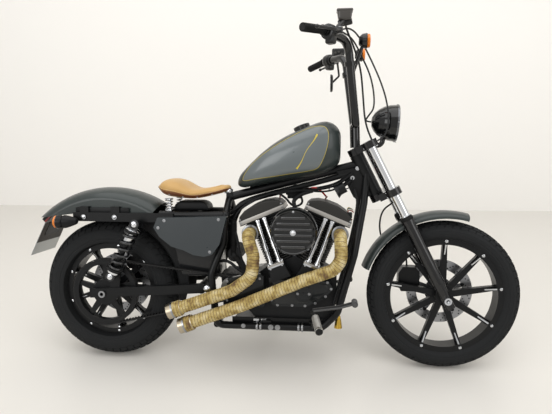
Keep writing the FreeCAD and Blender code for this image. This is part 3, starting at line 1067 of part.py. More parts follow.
# Side stand: a leg on a slanted pin, with a foot that lies flat on the ground.
stand_pivot = V(S.stand_x, S.stand_y, S.stand_z)
foot_floor = S.stand_foot_y * math.tan(lean)
foot_normal = V(0, -math.sin(lean), math.cos(lean))
foot_centre = V(S.stand_foot_x, S.stand_foot_y, foot_floor) + foot_normal * S.stand_foot_thickness / 2
down_way = V(S.stand_foot_x, S.stand_foot_y, foot_floor) - stand_pivot
stowed_way = V(-S.stow_back, S.stow_out, -S.stow_down)
stand_axis = down_way.cross(stowed_way).normalize()
stand_range = math.degrees(down_way.getAngle(stowed_way))
eye = bar("stand_eye", stand_pivot - stand_axis * S.eye_half, stand_pivot + stand_axis * S.eye_half,
          "sizes.eye_radius")
stand_leg = bar("stand_leg", stand_pivot, foot_centre, "sizes.stand_bar / 2")
foot = block("stand_foot", foot_centre, "sizes.stand_foot_length", "sizes.stand_foot_width",
             "sizes.stand_foot_thickness", foot_normal)
pin_room = bar("stand_pin_room", stand_pivot - stand_axis * S.stand_x,
               stand_pivot + stand_axis * S.stand_x, "sizes.pin_radius + sizes.seat_gap")
node("side_stand", cut("stand_drilled", fuse("stand_whole", [eye, stand_leg, foot]), pin_room))
pin_foot = stand_pivot - stand_axis * (S.eye_half + S.pin_stand_off)
stand_pin = bar("stand_pin", pin_foot, stand_pivot + stand_axis * (S.eye_half + S.seat_gap),
                "sizes.pin_radius")
lug = bar("stand_lug", pin_foot, stand_pivot - stand_axis * (S.eye_half + S.seat_gap),
          "sizes.eye_radius")
bell_arm = bar("bell_arm", V(S.cradle_front_x, -S.rail_half, S.cradle_front_z - S.tube / 4),
               V(S.bell_x, -S.bell_y, S.bell_z + S.horn_stay), "sizes.horn_stay")
frame_with_stand = fuse("frame_with_stand", [frame_whole, stand_pin, lug, bell_arm])
node("frame", cut("frame_bored", frame_with_stand, neck_bore))

# Brake calipers: a rounded body with a slot that the disc runs through.
CALIPER_SHARES = ((0.14, 0), (0.76, 0), (1, 0.2), (1, 0.8), (0.8, 1), (0.2, 1), (0, 0.74), (0, 0.26))


def caliper(end, axle_point, disc_y, extras):
    body = slab(end + "_caliper_body", outline(CALIPER_SHARES, end + "_caliper_length",
                                               end + "_caliper_height"), "2 * sizes.caliper_half")
    shift(body, axle_point.x + getattr(S, end + "_caliper_x"), disc_y, getattr(S, end + "_caliper_z"))
    slot = bar(end + "_caliper_slot", axle_point + V(0, disc_y - S.caliper_slot, 0),
               axle_point + V(0, disc_y + S.caliper_slot, 0), "sizes.disc_radius + sizes.brake_gap")
    return cut(end + "_caliper_slotted", fuse(end + "_caliper_whole", [body] + extras), slot)


lug_x = S.wheelbase + S.front_caliper_x + S.front_caliper_length - S.caliper_lug * 2
caliper_lugs = [bar("caliper_lug_%d" % height, V(lug_x, S.lug_y, height),
                    V(leg_point(S.leg_bottom + S.leg_neck + S.leg_taper).x, S.fork_half, height),
                    "sizes.caliper_lug") for height in (S.lug_low, S.lug_high)]
leg_room = bar("leg_room", leg_point(S.leg_bottom), leg_point(S.leg_top),
               "sizes.fork_leg / 2 + sizes.seat_gap")
node("front_caliper", cut("front_caliper_seated",
                          caliper("front", front_axle, S.front_disc_y, caliper_lugs), leg_room))
arm_inside = S.arm_half - S.arm_width / 2 - S.seat_gap
stay_inside = S.rear_disc_y + S.caliper_slot
stay = block("caliper_stay", V(S.stay_x, (arm_inside + stay_inside) / 2, S.stay_z), "sizes.stay_length",
             "sizes.arm_half - sizes.arm_width / 2 - sizes.seat_gap - sizes.rear_disc_y"
             " - sizes.caliper_slot", "sizes.stay_height")
node("rear_caliper", caliper("rear", rear_axle, S.rear_disc_y, [stay]))

# Foot controls: a peg on each side on an arm from the lower rail, with a pedal ahead of it.
peg_root, peg_end = V(S.peg_x, S.peg_y, S.peg_z), V(S.peg_end_x, S.peg_end_y, S.peg_end_z)
pedal_root = V(S.pedal_root_x, S.pedal_y, S.pedal_root_z)
pedal_end = V(S.pedal_x, S.pedal_y, S.pedal_z)
peg_arm = bar("peg_arm", V(S.peg_x - S.peg, S.rail_half, S.rail_z), peg_root, "sizes.peg_arm")
peg_bar = bar("peg_bar", peg_root, peg_end, "sizes.peg")
pedal_post = bar("pedal_post", peg_root, pedal_root, "sizes.peg_arm")
pedal_arm = pipe("pedal_arm", [pedal_root, V(S.pedal_bend_x, S.pedal_y, S.pedal_bend_z), pedal_end],
                 S.peg * 2, "sizes.pedal_bar")
pad = bar("pedal_pad", pedal_end - V(0, S.pad_half, 0), pedal_end + V(0, S.pad_half, 0), "sizes.pad")
rail_room = bar("peg_rail_room", heel, nose, "sizes.tube / 2 + sizes.seat_gap")
foot_whole = fuse("foot_control_whole", [peg_arm, peg_bar, pedal_post, pedal_arm, pad])
foot_control = cut("foot_control", foot_whole, rail_room)
node("foot_controls", *both([foot_control]))

# Hand controls: a housing on the bar, a lever ahead of the grip, a box, and the left side's mirror.
bar_run = bar_route[2] - bar_route[1]
bar_run_way = (bar_route[2] - bar_route[1]).normalize()
bar_ahead = V(bar_run_way.y, -bar_run_way.x, 0).normalize()


def hand_control(side, box_centre, extras):
    housing_start = bar_route[1] + bar_run * S.housing_start
    sleeve = ring("0", "sizes.housing_length", "sizes.bar_tube / 2 + sizes.seat_gap",
                  "sizes.housing_radius")
    housing = lathe(side + "_housing", sleeve, housing_start, bar_run_way)
    middle = housing_start + bar_run_way * S.housing_length / 2
    out = middle + bar_ahead * S.housing_radius * S.perch_share
    perch_end = middle + bar_ahead * S.perch_reach
    perch = bar(side + "_perch", out, perch_end, "sizes.perch")
    ends = at_bar(S.lever_end_x, S.lever_end_y, S.lever_end_z)
    lever_bend = at_bar(S.lever_bend_x, S.lever_bend_y, S.lever_bend_z)
    lever = pipe(side + "_lever", [perch_end - bar_run_way * S.perch, lever_bend, ends],
                 S.housing_radius * 2, "sizes.lever")
    ball = bind(doc.addObject("Part::Sphere", side + "_lever_ball"), Radius="sizes.lever_ball")
    ball.Placement.Base = ends
    box = block(side + "_box", box_centre, "sizes.box_long", "sizes.box_wide", "sizes.box_tall")
    neck_bar = bar(side + "_box_neck", out, box_centre, "sizes.perch")
    bar_room = bar(side + "_bar_room", bar_route[1], bar_route[2], "sizes.bar_tube / 2 + sizes.seat_gap")
    pieces = [housing, perch, lever, ball, box, neck_bar] + extras
    return cut(side + "_hand_control", fuse(side + "_hand_whole", pieces), bar_room)


mirror_place = at_bar(S.mirror_x, S.mirror_y, S.mirror_z)
mirror_knee = at_bar(S.stem_knee_x, S.stem_knee_y, S.stem_knee_z)
mirror_foot = bar_route[1] + bar_run * S.housing_start + bar_ahead * S.perch_reach
mirror_stem = pipe("mirror_stem", [mirror_foot + bar_run_way * S.housing_length / 2, mirror_knee,
                                   mirror_place + V(S.mirror_depth / 2, 0, 0)],
                   S.housing_radius / 2, "sizes.mirror_stem")
mirror_shell = bar("mirror_shell", mirror_place, mirror_place + V(S.mirror_depth, 0, 0),
                   "sizes.mirror_radius")
left_hand = hand_control("left", at_bar(S.left_box_x, S.left_box_y, S.left_box_z),
                         [mirror_stem, mirror_shell])
right_hand = hand_control("right", at_bar(S.right_box_x, S.right_box_y, S.right_box_z), [])
node("hand_controls", left_hand, mirrored("right_hand_control_turned", right_hand))

# Tail lamp: a lamp under the rear mudguard's tip, on a short post.
lamp_angle = math.radians(S.tail_lamp_turn)
lamp_out = V(-math.sin(lamp_angle), 0, math.cos(lamp_angle))
lamp_middle = rear_axle + lamp_out * S.tail_lamp_out
lamp_block = block("tail_lamp_block", lamp_middle, "sizes.tail_lamp_length", "sizes.tail_lamp_width",
                   "sizes.tail_lamp_height", lamp_out)
lamp_post = bar("tail_lamp_post", lamp_middle, rear_axle + lamp_out * (S.rear_guard - S.wall / 2),
                "sizes.holder_bar / 2")
tail_lamp = cut("tail_lamp_seated", fuse("tail_lamp_whole", [lamp_block, lamp_post]), tail_room)
node("tail_brackets", tail_bracket, tail_lamp)

# Fittings under the tank: a horn, the ignition coil and its two leads; a bell under the nose.
spine_room = bar("spine_room", spine_start, seat_post, "sizes.backbone / 2 + sizes.seat_gap")
horn_place = V(S.wheelbase - S.horn_back, -S.horn_y, S.horn_z)
horn_way = V(-math.cos(math.radians(S.horn_dip)), 0, -math.sin(math.radians(S.horn_dip)))
horn_cup = lathe("horn_cup", [("0", "0"), ("0", "sizes.horn_radius"),
                              ("-sizes.horn_depth / 3", "sizes.horn_neck"),
                              ("-sizes.horn_depth", "sizes.horn_neck"), ("-sizes.horn_depth", "0")],
                 horn_place, horn_way)
stay_end = V(S.wheelbase - S.stay_back, -S.web_half - S.seat_gap, S.stay_lift)
stay_route = [horn_place - horn_way * S.horn_depth / 2, V(stay_end.x, -S.horn_y, stay_end.z), stay_end]
horn_stay = pipe("horn_stay", stay_route, S.horn_stay * 2, "sizes.horn_stay")
node("horn", fuse("horn_whole", [horn_cup, horn_stay]))
spine_slope = (spine_start.z - seat_post.z) / (spine_start.x - seat_post.x)
coil_place = V(S.coil_x, 0, S.coil_z)
coil_hang = V(S.coil_x, 0, seat_post.z + (S.coil_x - seat_post.x) * spine_slope)
coil_box = block("coil_box", coil_place, "sizes.coil_length", "sizes.coil_width", "sizes.coil_height")
coil_stay = bar("coil_stay", coil_place, coil_hang, "sizes.perch")
coil = cut("coil_seated", fuse("coil_whole", [coil_box, coil_stay]), spine_room)
node("electrical_boxes", battery, coil)
bell_top = V(S.bell_x, -S.bell_y, S.bell_z - S.seat_gap)
bell_profile = [("0", "0"), ("0", "sizes.bell_neck"), ("sizes.bell_neck", "sizes.bell_neck * 3 / 2"),
                ("sizes.bell_height / 2", "sizes.bell_neck * 2"),
                ("sizes.bell_height", "sizes.bell_radius"), ("sizes.bell_height", "0")]
node("bell", lathe("bell_cup", bell_profile, bell_top, V(0, 0, -1)))
LEAD_POINTS = {
    "front": [(34, -10, 0), (42, -12, 4), (66, -28, 24), (90, -38, 31), (118, -36, 16),
              (144, -10, -16), (144, 66, -16), (130, 97, -44)],
    "rear": [(-34, 0, 4), (-44, 2, 8), (-60, 14, 12), (-72, 60, 2), (-76, 97, -28)]}
leads = []
for end in tilts:
    inward = S.plug_across if end == "rear" else -S.plug_across
    plug = up_cylinder(end, S.plug_along, inward, S.head_half_width + S.seat_gap)
    points = [coil_place + V(*point) for point in LEAD_POINTS[end]]
    points += [V(plug.x, S.clear_y, plug.z + S.boot_length), plug + V(0, S.boot, 0)]
    boot = bar(end + "_plug_boot", plug, plug + V(0, S.boot_length, 0), "sizes.boot")
    lead = pipe(end + "_lead", points, S.boot_length, "sizes.lead")
    leads.append(fuse(end + "_lead_whole", [lead, boot]))
node("ignition_leads", *leads)

# Cables and the brake hose, each along its whole run on the fork.
CABLE_POINTS = [(-112.8, -251.4, 477.5), (-84.4, -206, 480.2), (-46.4, -146, 506.2), (-6.4, -88, 490.2),
                (43.6, -84, 400.2), (97.6, -94, 280.2), (123.6, -97, 180.2), (121.6, -96, 110.2),
                (107.6, -90, 71.2), (80.4, -89, 57.6)]
WIRE_POINTS = [(-98.8, -257, 470.8), (-74.4, -218, 471.2), (-30.4, -100, 474.2), (7.6, -52, 420.2),
               (55.6, -54, 320.2), (71.6, -62, 200.2), (43.6, -50, 162.2), (31.6, -16, 143.2),
               (59, -10, 141.6)]
HOSE_POINTS = [(-66.4, -246, 500.5), (-62.4, -232, 480.2), (-28.4, -130, 440.2), (7.6, -70, 360.2),
               (21.6, -36, 250.2), (31.6, -34, 135.2), (67.6, -34, 50.2), (121.6, -34, -57.8)]
LOW_HOSE_POINTS = [(-209, -34, 780), (-215, 20, 740), (-263, 60, 700), (-275, 66, 620), (-253, 74, 540),
                   (-181, 73, 506), (-145, 71, 488), (-144, 71, 444.5)]


def cord(name, points, radius, low_points=()):
    """A cord through points set out from the upper clamp, then points set out from the wheel."""
    places = [at_bar(*point) for point in points]
    places += [V(S.wheelbase + x, y, z) for x, y, z in low_points]
    return pipe(name, places, S.cord_bend, radius)


node("cables", cord("throttle_cable", CABLE_POINTS, "sizes.cable"),
     cord("lamp_wire", WIRE_POINTS, "sizes.cable"),
     cord("front_brake_hose", HOSE_POINTS, "sizes.hose", LOW_HOSE_POINTS))

# Everything leans on the side stand, and the origin is the middle of the box on the ground.
doc.recompute()
failed = [item.Name for item in doc.Objects
          if "Invalid" in item.State or "Error" in item.State or not item.isValid()]
stance = FreeCAD.Rotation(V(1, 0, 0), -S.lean)
for item in NODES:
    item.Placement = FreeCAD.Placement(V(0, 0, 0), stance)
doc.recompute()
reach = FreeCAD.BoundBox()
for item in NODES:
    shape = item.Shape
    if shape.isNull() or not shape.Solids or not shape.isValid():
        failed.append(item.Label)
    else:
        reach.add(shape.optimalBoundingBox(False))
if failed:
    raise RuntimeError("failed: %s" % ", ".join(failed))
home = V(-reach.Center.x, -reach.Center.y, 0)
for item in NODES:
    item.Placement = FreeCAD.Placement(home, stance)
doc.recompute()
os.makedirs("parts", exist_ok=True)
for item in NODES:
    item.Shape.exportStep(os.path.join("parts", item.Label + ".step"))
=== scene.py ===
import math

import bmesh
import bpy
from mathutils import Matrix, Vector


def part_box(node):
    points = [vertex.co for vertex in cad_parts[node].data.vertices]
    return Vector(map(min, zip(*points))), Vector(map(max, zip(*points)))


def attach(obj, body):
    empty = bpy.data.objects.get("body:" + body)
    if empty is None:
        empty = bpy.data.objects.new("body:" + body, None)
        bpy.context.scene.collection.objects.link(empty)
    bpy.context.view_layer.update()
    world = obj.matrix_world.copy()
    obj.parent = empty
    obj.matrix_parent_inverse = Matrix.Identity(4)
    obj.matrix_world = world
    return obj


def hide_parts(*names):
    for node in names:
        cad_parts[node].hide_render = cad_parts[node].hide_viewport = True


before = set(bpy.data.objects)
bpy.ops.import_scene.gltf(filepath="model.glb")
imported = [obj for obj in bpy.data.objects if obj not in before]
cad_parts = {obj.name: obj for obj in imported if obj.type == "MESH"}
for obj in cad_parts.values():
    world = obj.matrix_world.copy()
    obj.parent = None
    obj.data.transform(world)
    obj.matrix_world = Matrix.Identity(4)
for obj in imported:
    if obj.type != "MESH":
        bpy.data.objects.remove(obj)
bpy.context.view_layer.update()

# Stance: details are shaped on the upright machine, in millimetres from the rear axle's line on the
# ground, and then lean with it. The rear tyre's box gives the place of that line.
LEAN = math.radians(12)
AXLE_HEIGHT = 324.676
tyre_low, tyre_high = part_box("rear_tyre")
HOME = Vector(((tyre_low[0] + tyre_high[0]) / 2,
               (tyre_low[1] + tyre_high[1]) / 2 - AXLE_HEIGHT / 1000 * math.sin(LEAN), 0))
STANCE = Matrix.Translation(HOME) @ Matrix.Rotation(-LEAN, 4, "X") @ Matrix.Scale(0.001, 4)


# Room: a pale floor and a pale wall behind it, lit by a broad soft light above, one from the viewer's
# left and a weaker one from the right, and seen from the photograph's viewing angle.

def linear(shade):
    """An sRGB hex colour as linear red, green, blue and alpha."""
    parts = [int(shade[i:i + 2], 16) / 255 for i in (0, 2, 4)]
    return [p / 12.92 if p <= 0.04045 else ((p + 0.055) / 1.055) ** 2.4 for p in parts] + [1.0]


def add(material, kind, x=0, y=0):
    node = material.node_tree.nodes.new(kind)
    node.location = (x, y)
    return node


def finish_of(name, shade, rough, metal=0.0, coat=0.0, grain=0.0, grain_mm=1.0, patch=0.0, **more):
    """A material: one colour, with fine grain and broad patches in the roughness."""
    material = bpy.data.materials.new(name)
    material.use_nodes = True
    shader = material.node_tree.nodes["Principled BSDF"]
    shader.inputs["Base Color"].default_value = linear(shade)
    shader.inputs["Roughness"].default_value = rough
    shader.inputs["Metallic"].default_value = metal
    shader.inputs["Coat Weight"].default_value = coat
    shader.inputs["Coat Roughness"].default_value = 0.08
    for socket, value in more.items():
        shader.inputs[socket.replace("_", " ")].default_value = value
    links = material.node_tree.links
    place = add(material, "ShaderNodeTexCoord", -900, 0)
    if patch:
        cloud = add(material, "ShaderNodeTexNoise", -700, 200)
        cloud.inputs["Scale"].default_value = 18
        cloud.inputs["Detail"].default_value = 4
        links.new(place.outputs["Object"], cloud.inputs["Vector"])
        spread = add(material, "ShaderNodeMapRange", -450, 200)
        spread.inputs["To Min"].default_value = max(rough - patch, 0.02)
        spread.inputs["To Max"].default_value = min(rough + patch, 1.0)
        links.new(cloud.outputs["Fac"], spread.inputs["Value"])
        links.new(spread.outputs["Result"], shader.inputs["Roughness"])
    if grain:
        speck = add(material, "ShaderNodeTexNoise", -700, -200)
        speck.inputs["Scale"].default_value = 1000 / grain_mm
        speck.inputs["Detail"].default_value = 2
        links.new(place.outputs["Object"], speck.inputs["Vector"])
        bump = add(material, "ShaderNodeBump", -300, -200)
        bump.inputs["Strength"].default_value = grain
        bump.inputs["Distance"].default_value = grain_mm / 2000
        links.new(speck.outputs["Fac"], bump.inputs["Height"])
        links.new(bump.outputs["Normal"], shader.inputs["Normal"])
    return material


FLOOR_SHADE, WALL_SHADE = "D8D5CF", "F3F1ED"
bpy.ops.object.select_all(action="DESELECT")
bpy.ops.mesh.primitive_plane_add(size=1)
floor = bpy.context.object
floor.name = "floor"
floor.scale = (14, 5.2, 1)
floor.location = (0, -0.55, 0)
bpy.ops.object.transform_apply(location=True, rotation=True, scale=True)
floor.data.materials.append(finish_of("floor_tile_white", FLOOR_SHADE, 0.34, grain=0.02, grain_mm=6,
                                      patch=0.05))
bpy.ops.mesh.primitive_plane_add(size=1)
wall = bpy.context.object
wall.name = "wall"
wall.scale = (14, 6, 1)
wall.rotation_euler = (math.radians(90), 0, 0)
wall.location = (0, 2.05, 3)
bpy.ops.object.transform_apply(location=True, rotation=True, scale=True)
wall_paint = finish_of("wall_paint_white", WALL_SHADE, 0.85)
nodes, links = wall_paint.node_tree.nodes, wall_paint.node_tree.links
end = next(node for node in nodes if node.type == "OUTPUT_MATERIAL")
# The wall's back is clear, so that the object also shows from behind it.
clear, side, blend = (nodes.new("ShaderNode" + kind)
                      for kind in ("BsdfTransparent", "NewGeometry", "MixShader"))
links.new(side.outputs["Backfacing"], blend.inputs[0])
links.new(end.inputs["Surface"].links[0].from_socket, blend.inputs[1])
links.new(clear.outputs[0], blend.inputs[2])
links.new(blend.outputs[0], end.inputs["Surface"])
wall.data.materials.append(wall_paint)

world = bpy.data.worlds.new("soft_room")
world.use_nodes = True
world.node_tree.nodes["Background"].inputs["Color"].default_value = linear("F5F3F0")
world.node_tree.nodes["Background"].inputs["Strength"].default_value = 0.75
bpy.context.scene.world = world
for name, place, turn, wide, high, power in (
        ("ceiling_light", (0.2, -0.6, 3.6), (0, 0, 0), 5.5, 3.5, 95),
        ("window_light", (-2.6, -4.2, 2.6), (62, 0, -32), 3.0, 2.4, 70),
        ("side_light", (3.6, -2.2, 2.2), (64, 0, 58), 2.0, 2.0, 28)):
    bpy.ops.object.light_add(type="AREA", location=place,
                             rotation=[math.radians(a) for a in turn])
    lamp = bpy.context.object
    lamp.name = name
    lamp.data.shape = "RECTANGLE"
    lamp.data.size, lamp.data.size_y = wide, high
    lamp.data.energy = power

VIEW_PLACE = Vector((0.997331, -1.907396, 1.363092)) + HOME
YAW, PITCH, ROLL = math.radians(6.246), math.radians(17.832), math.radians(-1.252)
bpy.ops.object.camera_add()
camera = bpy.context.object
camera.matrix_world = (Matrix.Translation(VIEW_PLACE) @ Matrix.Rotation(YAW, 4, "Z")
                       @ Matrix.Rotation(math.pi / 2 - PITCH, 4, "X") @ Matrix.Rotation(ROLL, 4, "Z"))
camera.data.sensor_width = 36
camera.data.lens = 31.23
bpy.context.scene.camera = camera
bpy.context.scene.view_settings.view_transform = "Standard"


# Finishes of the pieces that keep their construction mesh: powder coat, enamel, cast and bright metal,
# rubber and satin paint. Later sections give the other CAD nodes theirs.

def paint(material, *nodes):
    """Gives CAD nodes their finish."""
    for name in nodes:
        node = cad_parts[name]
        node.data.materials.clear()
        node.data.materials.append(material)


SATIN_BLACK = finish_of("powder_coat_black", "0E0F10", 0.36, coat=0.08, grain=0.05, grain_mm=0.8, patch=0.06,
                       Specular_IOR_Level=0.2)
GLOSS_BLACK = finish_of("gloss_enamel_black", "08090A", 0.14, coat=0.35, patch=0.04, Specular_IOR_Level=0.3)
CAST_BLACK = finish_of("cast_aluminium_black", "161718", 0.5, grain=0.15, grain_mm=0.9, patch=0.08,
                       Specular_IOR_Level=0.2)
CHROME = finish_of("chrome_plate", "DADCDF", 0.07, 1.0, patch=0.03)
STEEL = finish_of("brushed_steel", "9A9B9D", 0.32, 1.0, grain=0.08, grain_mm=0.5, patch=0.08)
DENIM = finish_of("denim_satin_paint", "2A3130", 0.36, coat=0.2, grain=0.03, grain_mm=0.5, patch=0.05,
                  Specular_IOR_Level=0.35)
paint(SATIN_BLACK, "frame", "swingarm", "mudguard_struts", "front_rim", "rear_rim", "front_caliper",
      "rear_caliper", "rear_pulley", "foot_controls", "side_stand", "tail_brackets", "horn", "intake")
paint(GLOSS_BLACK, "headlamp", "front_signals")
paint(CAST_BLACK, "cylinders", "cylinder_heads", "crankcase")
paint(CHROME, "fork_tubes", "front_axle", "pushrod_tubes")
paint(STEEL, "rear_axle", "front_brake_disc", "rear_brake_disc", "drive_pulley")
paint(DENIM, "fuel_tank", "front_mudguard", "rear_mudguard")

# Tyres: a rubber carcass with moulded rings on its walls, and a tread of slanted blocks about the crown.
# The carcass is turned about the axle, and one pitch of blocks is copied round it.

def begin():
    bpy.ops.object.select_all(action="DESELECT")


def shape(fn):
    """Moves each vertex of the active mesh, in edit mode, to where fn puts it."""
    item = bpy.context.object
    bpy.ops.object.mode_set(mode="EDIT")
    mesh = bmesh.from_edit_mesh(item.data)
    for vertex in mesh.verts:
        vertex.co = fn(Vector(vertex.co))
    bmesh.update_edit_mesh(item.data)
    bpy.ops.object.mode_set(mode="OBJECT")
    return item


def settle(item, name, material, body, node=None, smooth=35):
    """Names a finished piece, leans it with the machine, gives its finish and the body it rides on."""
    bpy.ops.object.select_all(action="DESELECT")
    item.select_set(True)
    bpy.context.view_layer.objects.active = item
    bpy.ops.object.transform_apply(location=True, rotation=True, scale=True)
    item.matrix_world = STANCE
    bpy.ops.object.transform_apply(location=True, rotation=True, scale=True)
    if smooth:
        bpy.ops.object.shade_smooth_by_angle(angle=math.radians(smooth))
    item.name = name
    item.data.materials.clear()
    item.data.materials.append(material)
    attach(item, body)
    if node:
        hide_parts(node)
    return item


def joined(items):
    """Joins several objects into the first."""
    bpy.ops.object.select_all(action="DESELECT")
    for item in items:
        item.select_set(True)
    bpy.context.view_layer.objects.active = items[0]
    bpy.ops.object.transform_apply(location=True, rotation=True, scale=True)
    if len(items) > 1:
        bpy.ops.object.join()
    return bpy.context.object


def turned(profile, start, way, sides=32):
    """A surface turned about a line: a profile of places along it and radii."""
    start, way = Vector(start), Vector(way).normalized()
    begin()
    bpy.ops.mesh.primitive_grid_add(x_subdivisions=sides, y_subdivisions=len(profile) - 1, size=2)
    item = bpy.context.object
    frame_turn = way.to_track_quat("Z", "Y").to_matrix()
    last = len(profile) - 1

    def lay(v):
        angle = (v.x + 1) * math.pi
        along, radius = profile[round((v.y + 1) / 2 * last)]
        return start + frame_turn @ Vector((radius * math.cos(angle), radius * math.sin(angle), along))

    shape(lay)
    weld(0.001)
    return item


def weld(threshold):
    """Closes the active mesh's seams and turns its faces outwards."""
    bpy.ops.object.mode_set(mode="EDIT")
    bpy.ops.mesh.select_all(action="SELECT")
    bpy.ops.mesh.remove_doubles(threshold=threshold)
    bpy.ops.mesh.normals_make_consistent(inside=False)
    bpy.ops.object.mode_set(mode="OBJECT")


def modified(item, kind, **settings):
    """Applies one modifier to the active piece."""
    change = item.modifiers.new(kind.lower(), kind)
    for key, value in settings.items():
        setattr(change, key, value)
    bpy.ops.object.modifier_apply(modifier=change.name)
    return item


TYRE = finish_of("tyre_rubber", "1E1F20", 0.8, grain=0.18, grain_mm=1.2, patch=0.06, Specular_IOR_Level=0.2)
FRONT_AXLE, REAR_AXLE = (1515, 0, 332.118), (0, 0, AXLE_HEIGHT)
TYRES = {"front": {"centre": FRONT_AXLE, "ring": 281, "crown": 50, "lip": 37, "bead": 253.3,
                   "pitches": 58, "width": 62},
         "rear": {"centre": REAR_AXLE, "ring": 248, "crown": 75, "lip": 43, "bead": 215.3,
                  "pitches": 52, "width": 58}}
TREAD_DEPTH = 5.0


def round_about(item, count, centre, axis=(0, 1, 0)):
    """Copies the active mesh evenly about a line."""
    bpy.ops.object.mode_set(mode="EDIT")
    bpy.ops.mesh.select_all(action="SELECT")
    bpy.ops.mesh.spin(steps=count - 1, dupli=True, angle=2 * math.pi * (count - 1) / count,
                      center=centre, axis=axis)
    bpy.ops.object.mode_set(mode="OBJECT")
    return item


def tyre_piece(end):
    data = TYRES[end]
    centre = Vector(data["centre"])

    def crown_point(angle, depth=0.0):
        out = data["crown"] - depth
        return out * math.cos(math.radians(angle)), data["ring"] + out * math.sin(math.radians(angle))

    walls = [(-20, 0), (-12, 0), (-10.5, 1.2), (-6, 1.2), (-4.5, 0), (6, 0), (7.2, 0.9), (9, 0.9), (10.2, 0),
             (20, 0), (26, 0.6), (32, TREAD_DEPTH * 0.7), (40, TREAD_DEPTH)]
    crown = [(angle, TREAD_DEPTH) for angle in range(50, 131, 10)]
    half = walls + crown + [(180 - angle, depth) for angle, depth in reversed(walls)]
    profile = [(data["lip"], data["bead"])] + [crown_point(*item) for item in half]
    profile += [(-data["lip"], data["bead"])]
    carcass = turned(profile, centre, (0, 1, 0), 128)
    pieces = [carcass]
    slant = 0.055
    pitch = 2 * math.pi / data["pitches"]
    rows = [(28, 45, 0.86), (48, 64, 0.8), (67, 85, 0.78)]
    for side in (1, -1):
        for row, (low, high, share) in enumerate(rows):
            begin()
            bpy.ops.mesh.primitive_grid_add(x_subdivisions=3, y_subdivisions=2, size=2)

            def lay(v, low=low, high=high, share=share, row=row, side=side):
                angle = low + (high - low) * (v.x + 1) / 2
                lift = 0.15 if 0.2 < (v.x + 1) / 2 < 0.8 else 0.5
                across, out = crown_point(angle, lift)
                turn = (v.y * share / 2 * pitch + (angle - 57) / 57 * slant * (1 + row * 0.3)
                        + (pitch / 2 if side < 0 else 0) + row * pitch / 3)
                return centre + Vector((out * math.sin(turn), across * side, out * math.cos(turn)))

            item = shape(lay)
            modified(item, "SOLIDIFY", thickness=TREAD_DEPTH, offset=-1 if side > 0 else 1)
            round_about(item, data["pitches"], centre)
            pieces.append(item)
    whole = joined(pieces)
    settle(whole, end + "_tyre_shape", TYRE, end + "_wheel", end + "_tyre", 30)


tyre_piece("front")
tyre_piece("rear")

# Wheels: on each of the nine cast spokes, black webs that run out to the rim's lip on both sides, with
# a bright machined edge and a round knob at the lip. One spoke's pieces are copied round the axle.
ALLOY = finish_of("machined_aluminium", "C6C8CA", 0.24, 1.0, patch=0.06)
WHEELS = {"front": {"centre": FRONT_AXLE, "turn": 1.1, "bead": 241, "lip": 37, "start": 176},
          "rear": {"centre": REAR_AXLE, "turn": 11.3, "bead": 203, "lip": 43, "start": 142}}
for end, data in WHEELS.items():
    centre = Vector(data["centre"])
    turn = math.radians(data["turn"])
    out = Vector((math.sin(turn), 0, math.cos(turn)))
    along = Vector((math.cos(turn), 0, -math.sin(turn)))
    inner = data["bead"] - 12
    webs, edges = [], []
    for side in (1, -1):
        face = 12.2 * side
        rise = (data["lip"] - 1) * side
        start = centre + out * data["start"] + Vector((0, face - 3 * side, 0))
        knee = centre + out * (inner - 4) + Vector((0, rise - 9 * side, 0))
        lip = centre + out * (data["bead"] + 8) + Vector((0, rise, 0))
        for first, last, width, tip in ((start, knee, 8.5, 10.5), (knee, lip, 10.5, 13)):
            begin()
            bpy.ops.mesh.primitive_cube_add(size=2)

            def web(v, first=first, last=last, width=width, tip=tip, face=face):
                place = last if v.z > 0 else first
                wide = tip if v.z > 0 else width
                depth = place.y if v.y * side > 0 else face - 6 * side
                return Vector((place.x, depth, place.z)) + along * v.x * wide / 2

            webs.append(shape(web))
            begin()
            bpy.ops.mesh.primitive_cube_add(size=2)

            def edge(v, first=first, last=last, width=width, tip=tip):
                place = last if v.z > 0 else first
                wide = (tip if v.z > 0 else width) - 4
                raised = (0.9 if v.y * side > 0 else -1.5) * side
                return place + Vector((0, raised, 0)) + along * v.x * wide / 2

            edges.append(shape(edge))
        knob = turned([(-2, 0), (-2, 6.5), (1.2, 6.5), (1.8, 5.5), (1.8, 0)], lip - out * 5, (0, side, 0), 14)
        edges.append(knob)
    web_whole = round_about(joined(webs), 9, centre)
    settle(web_whole, end + "_spoke_webs", SATIN_BLACK, end + "_wheel")
    edge_whole = round_about(joined(edges), 9, centre)
    settle(edge_whole, end + "_spoke_edges", ALLOY, end + "_wheel")

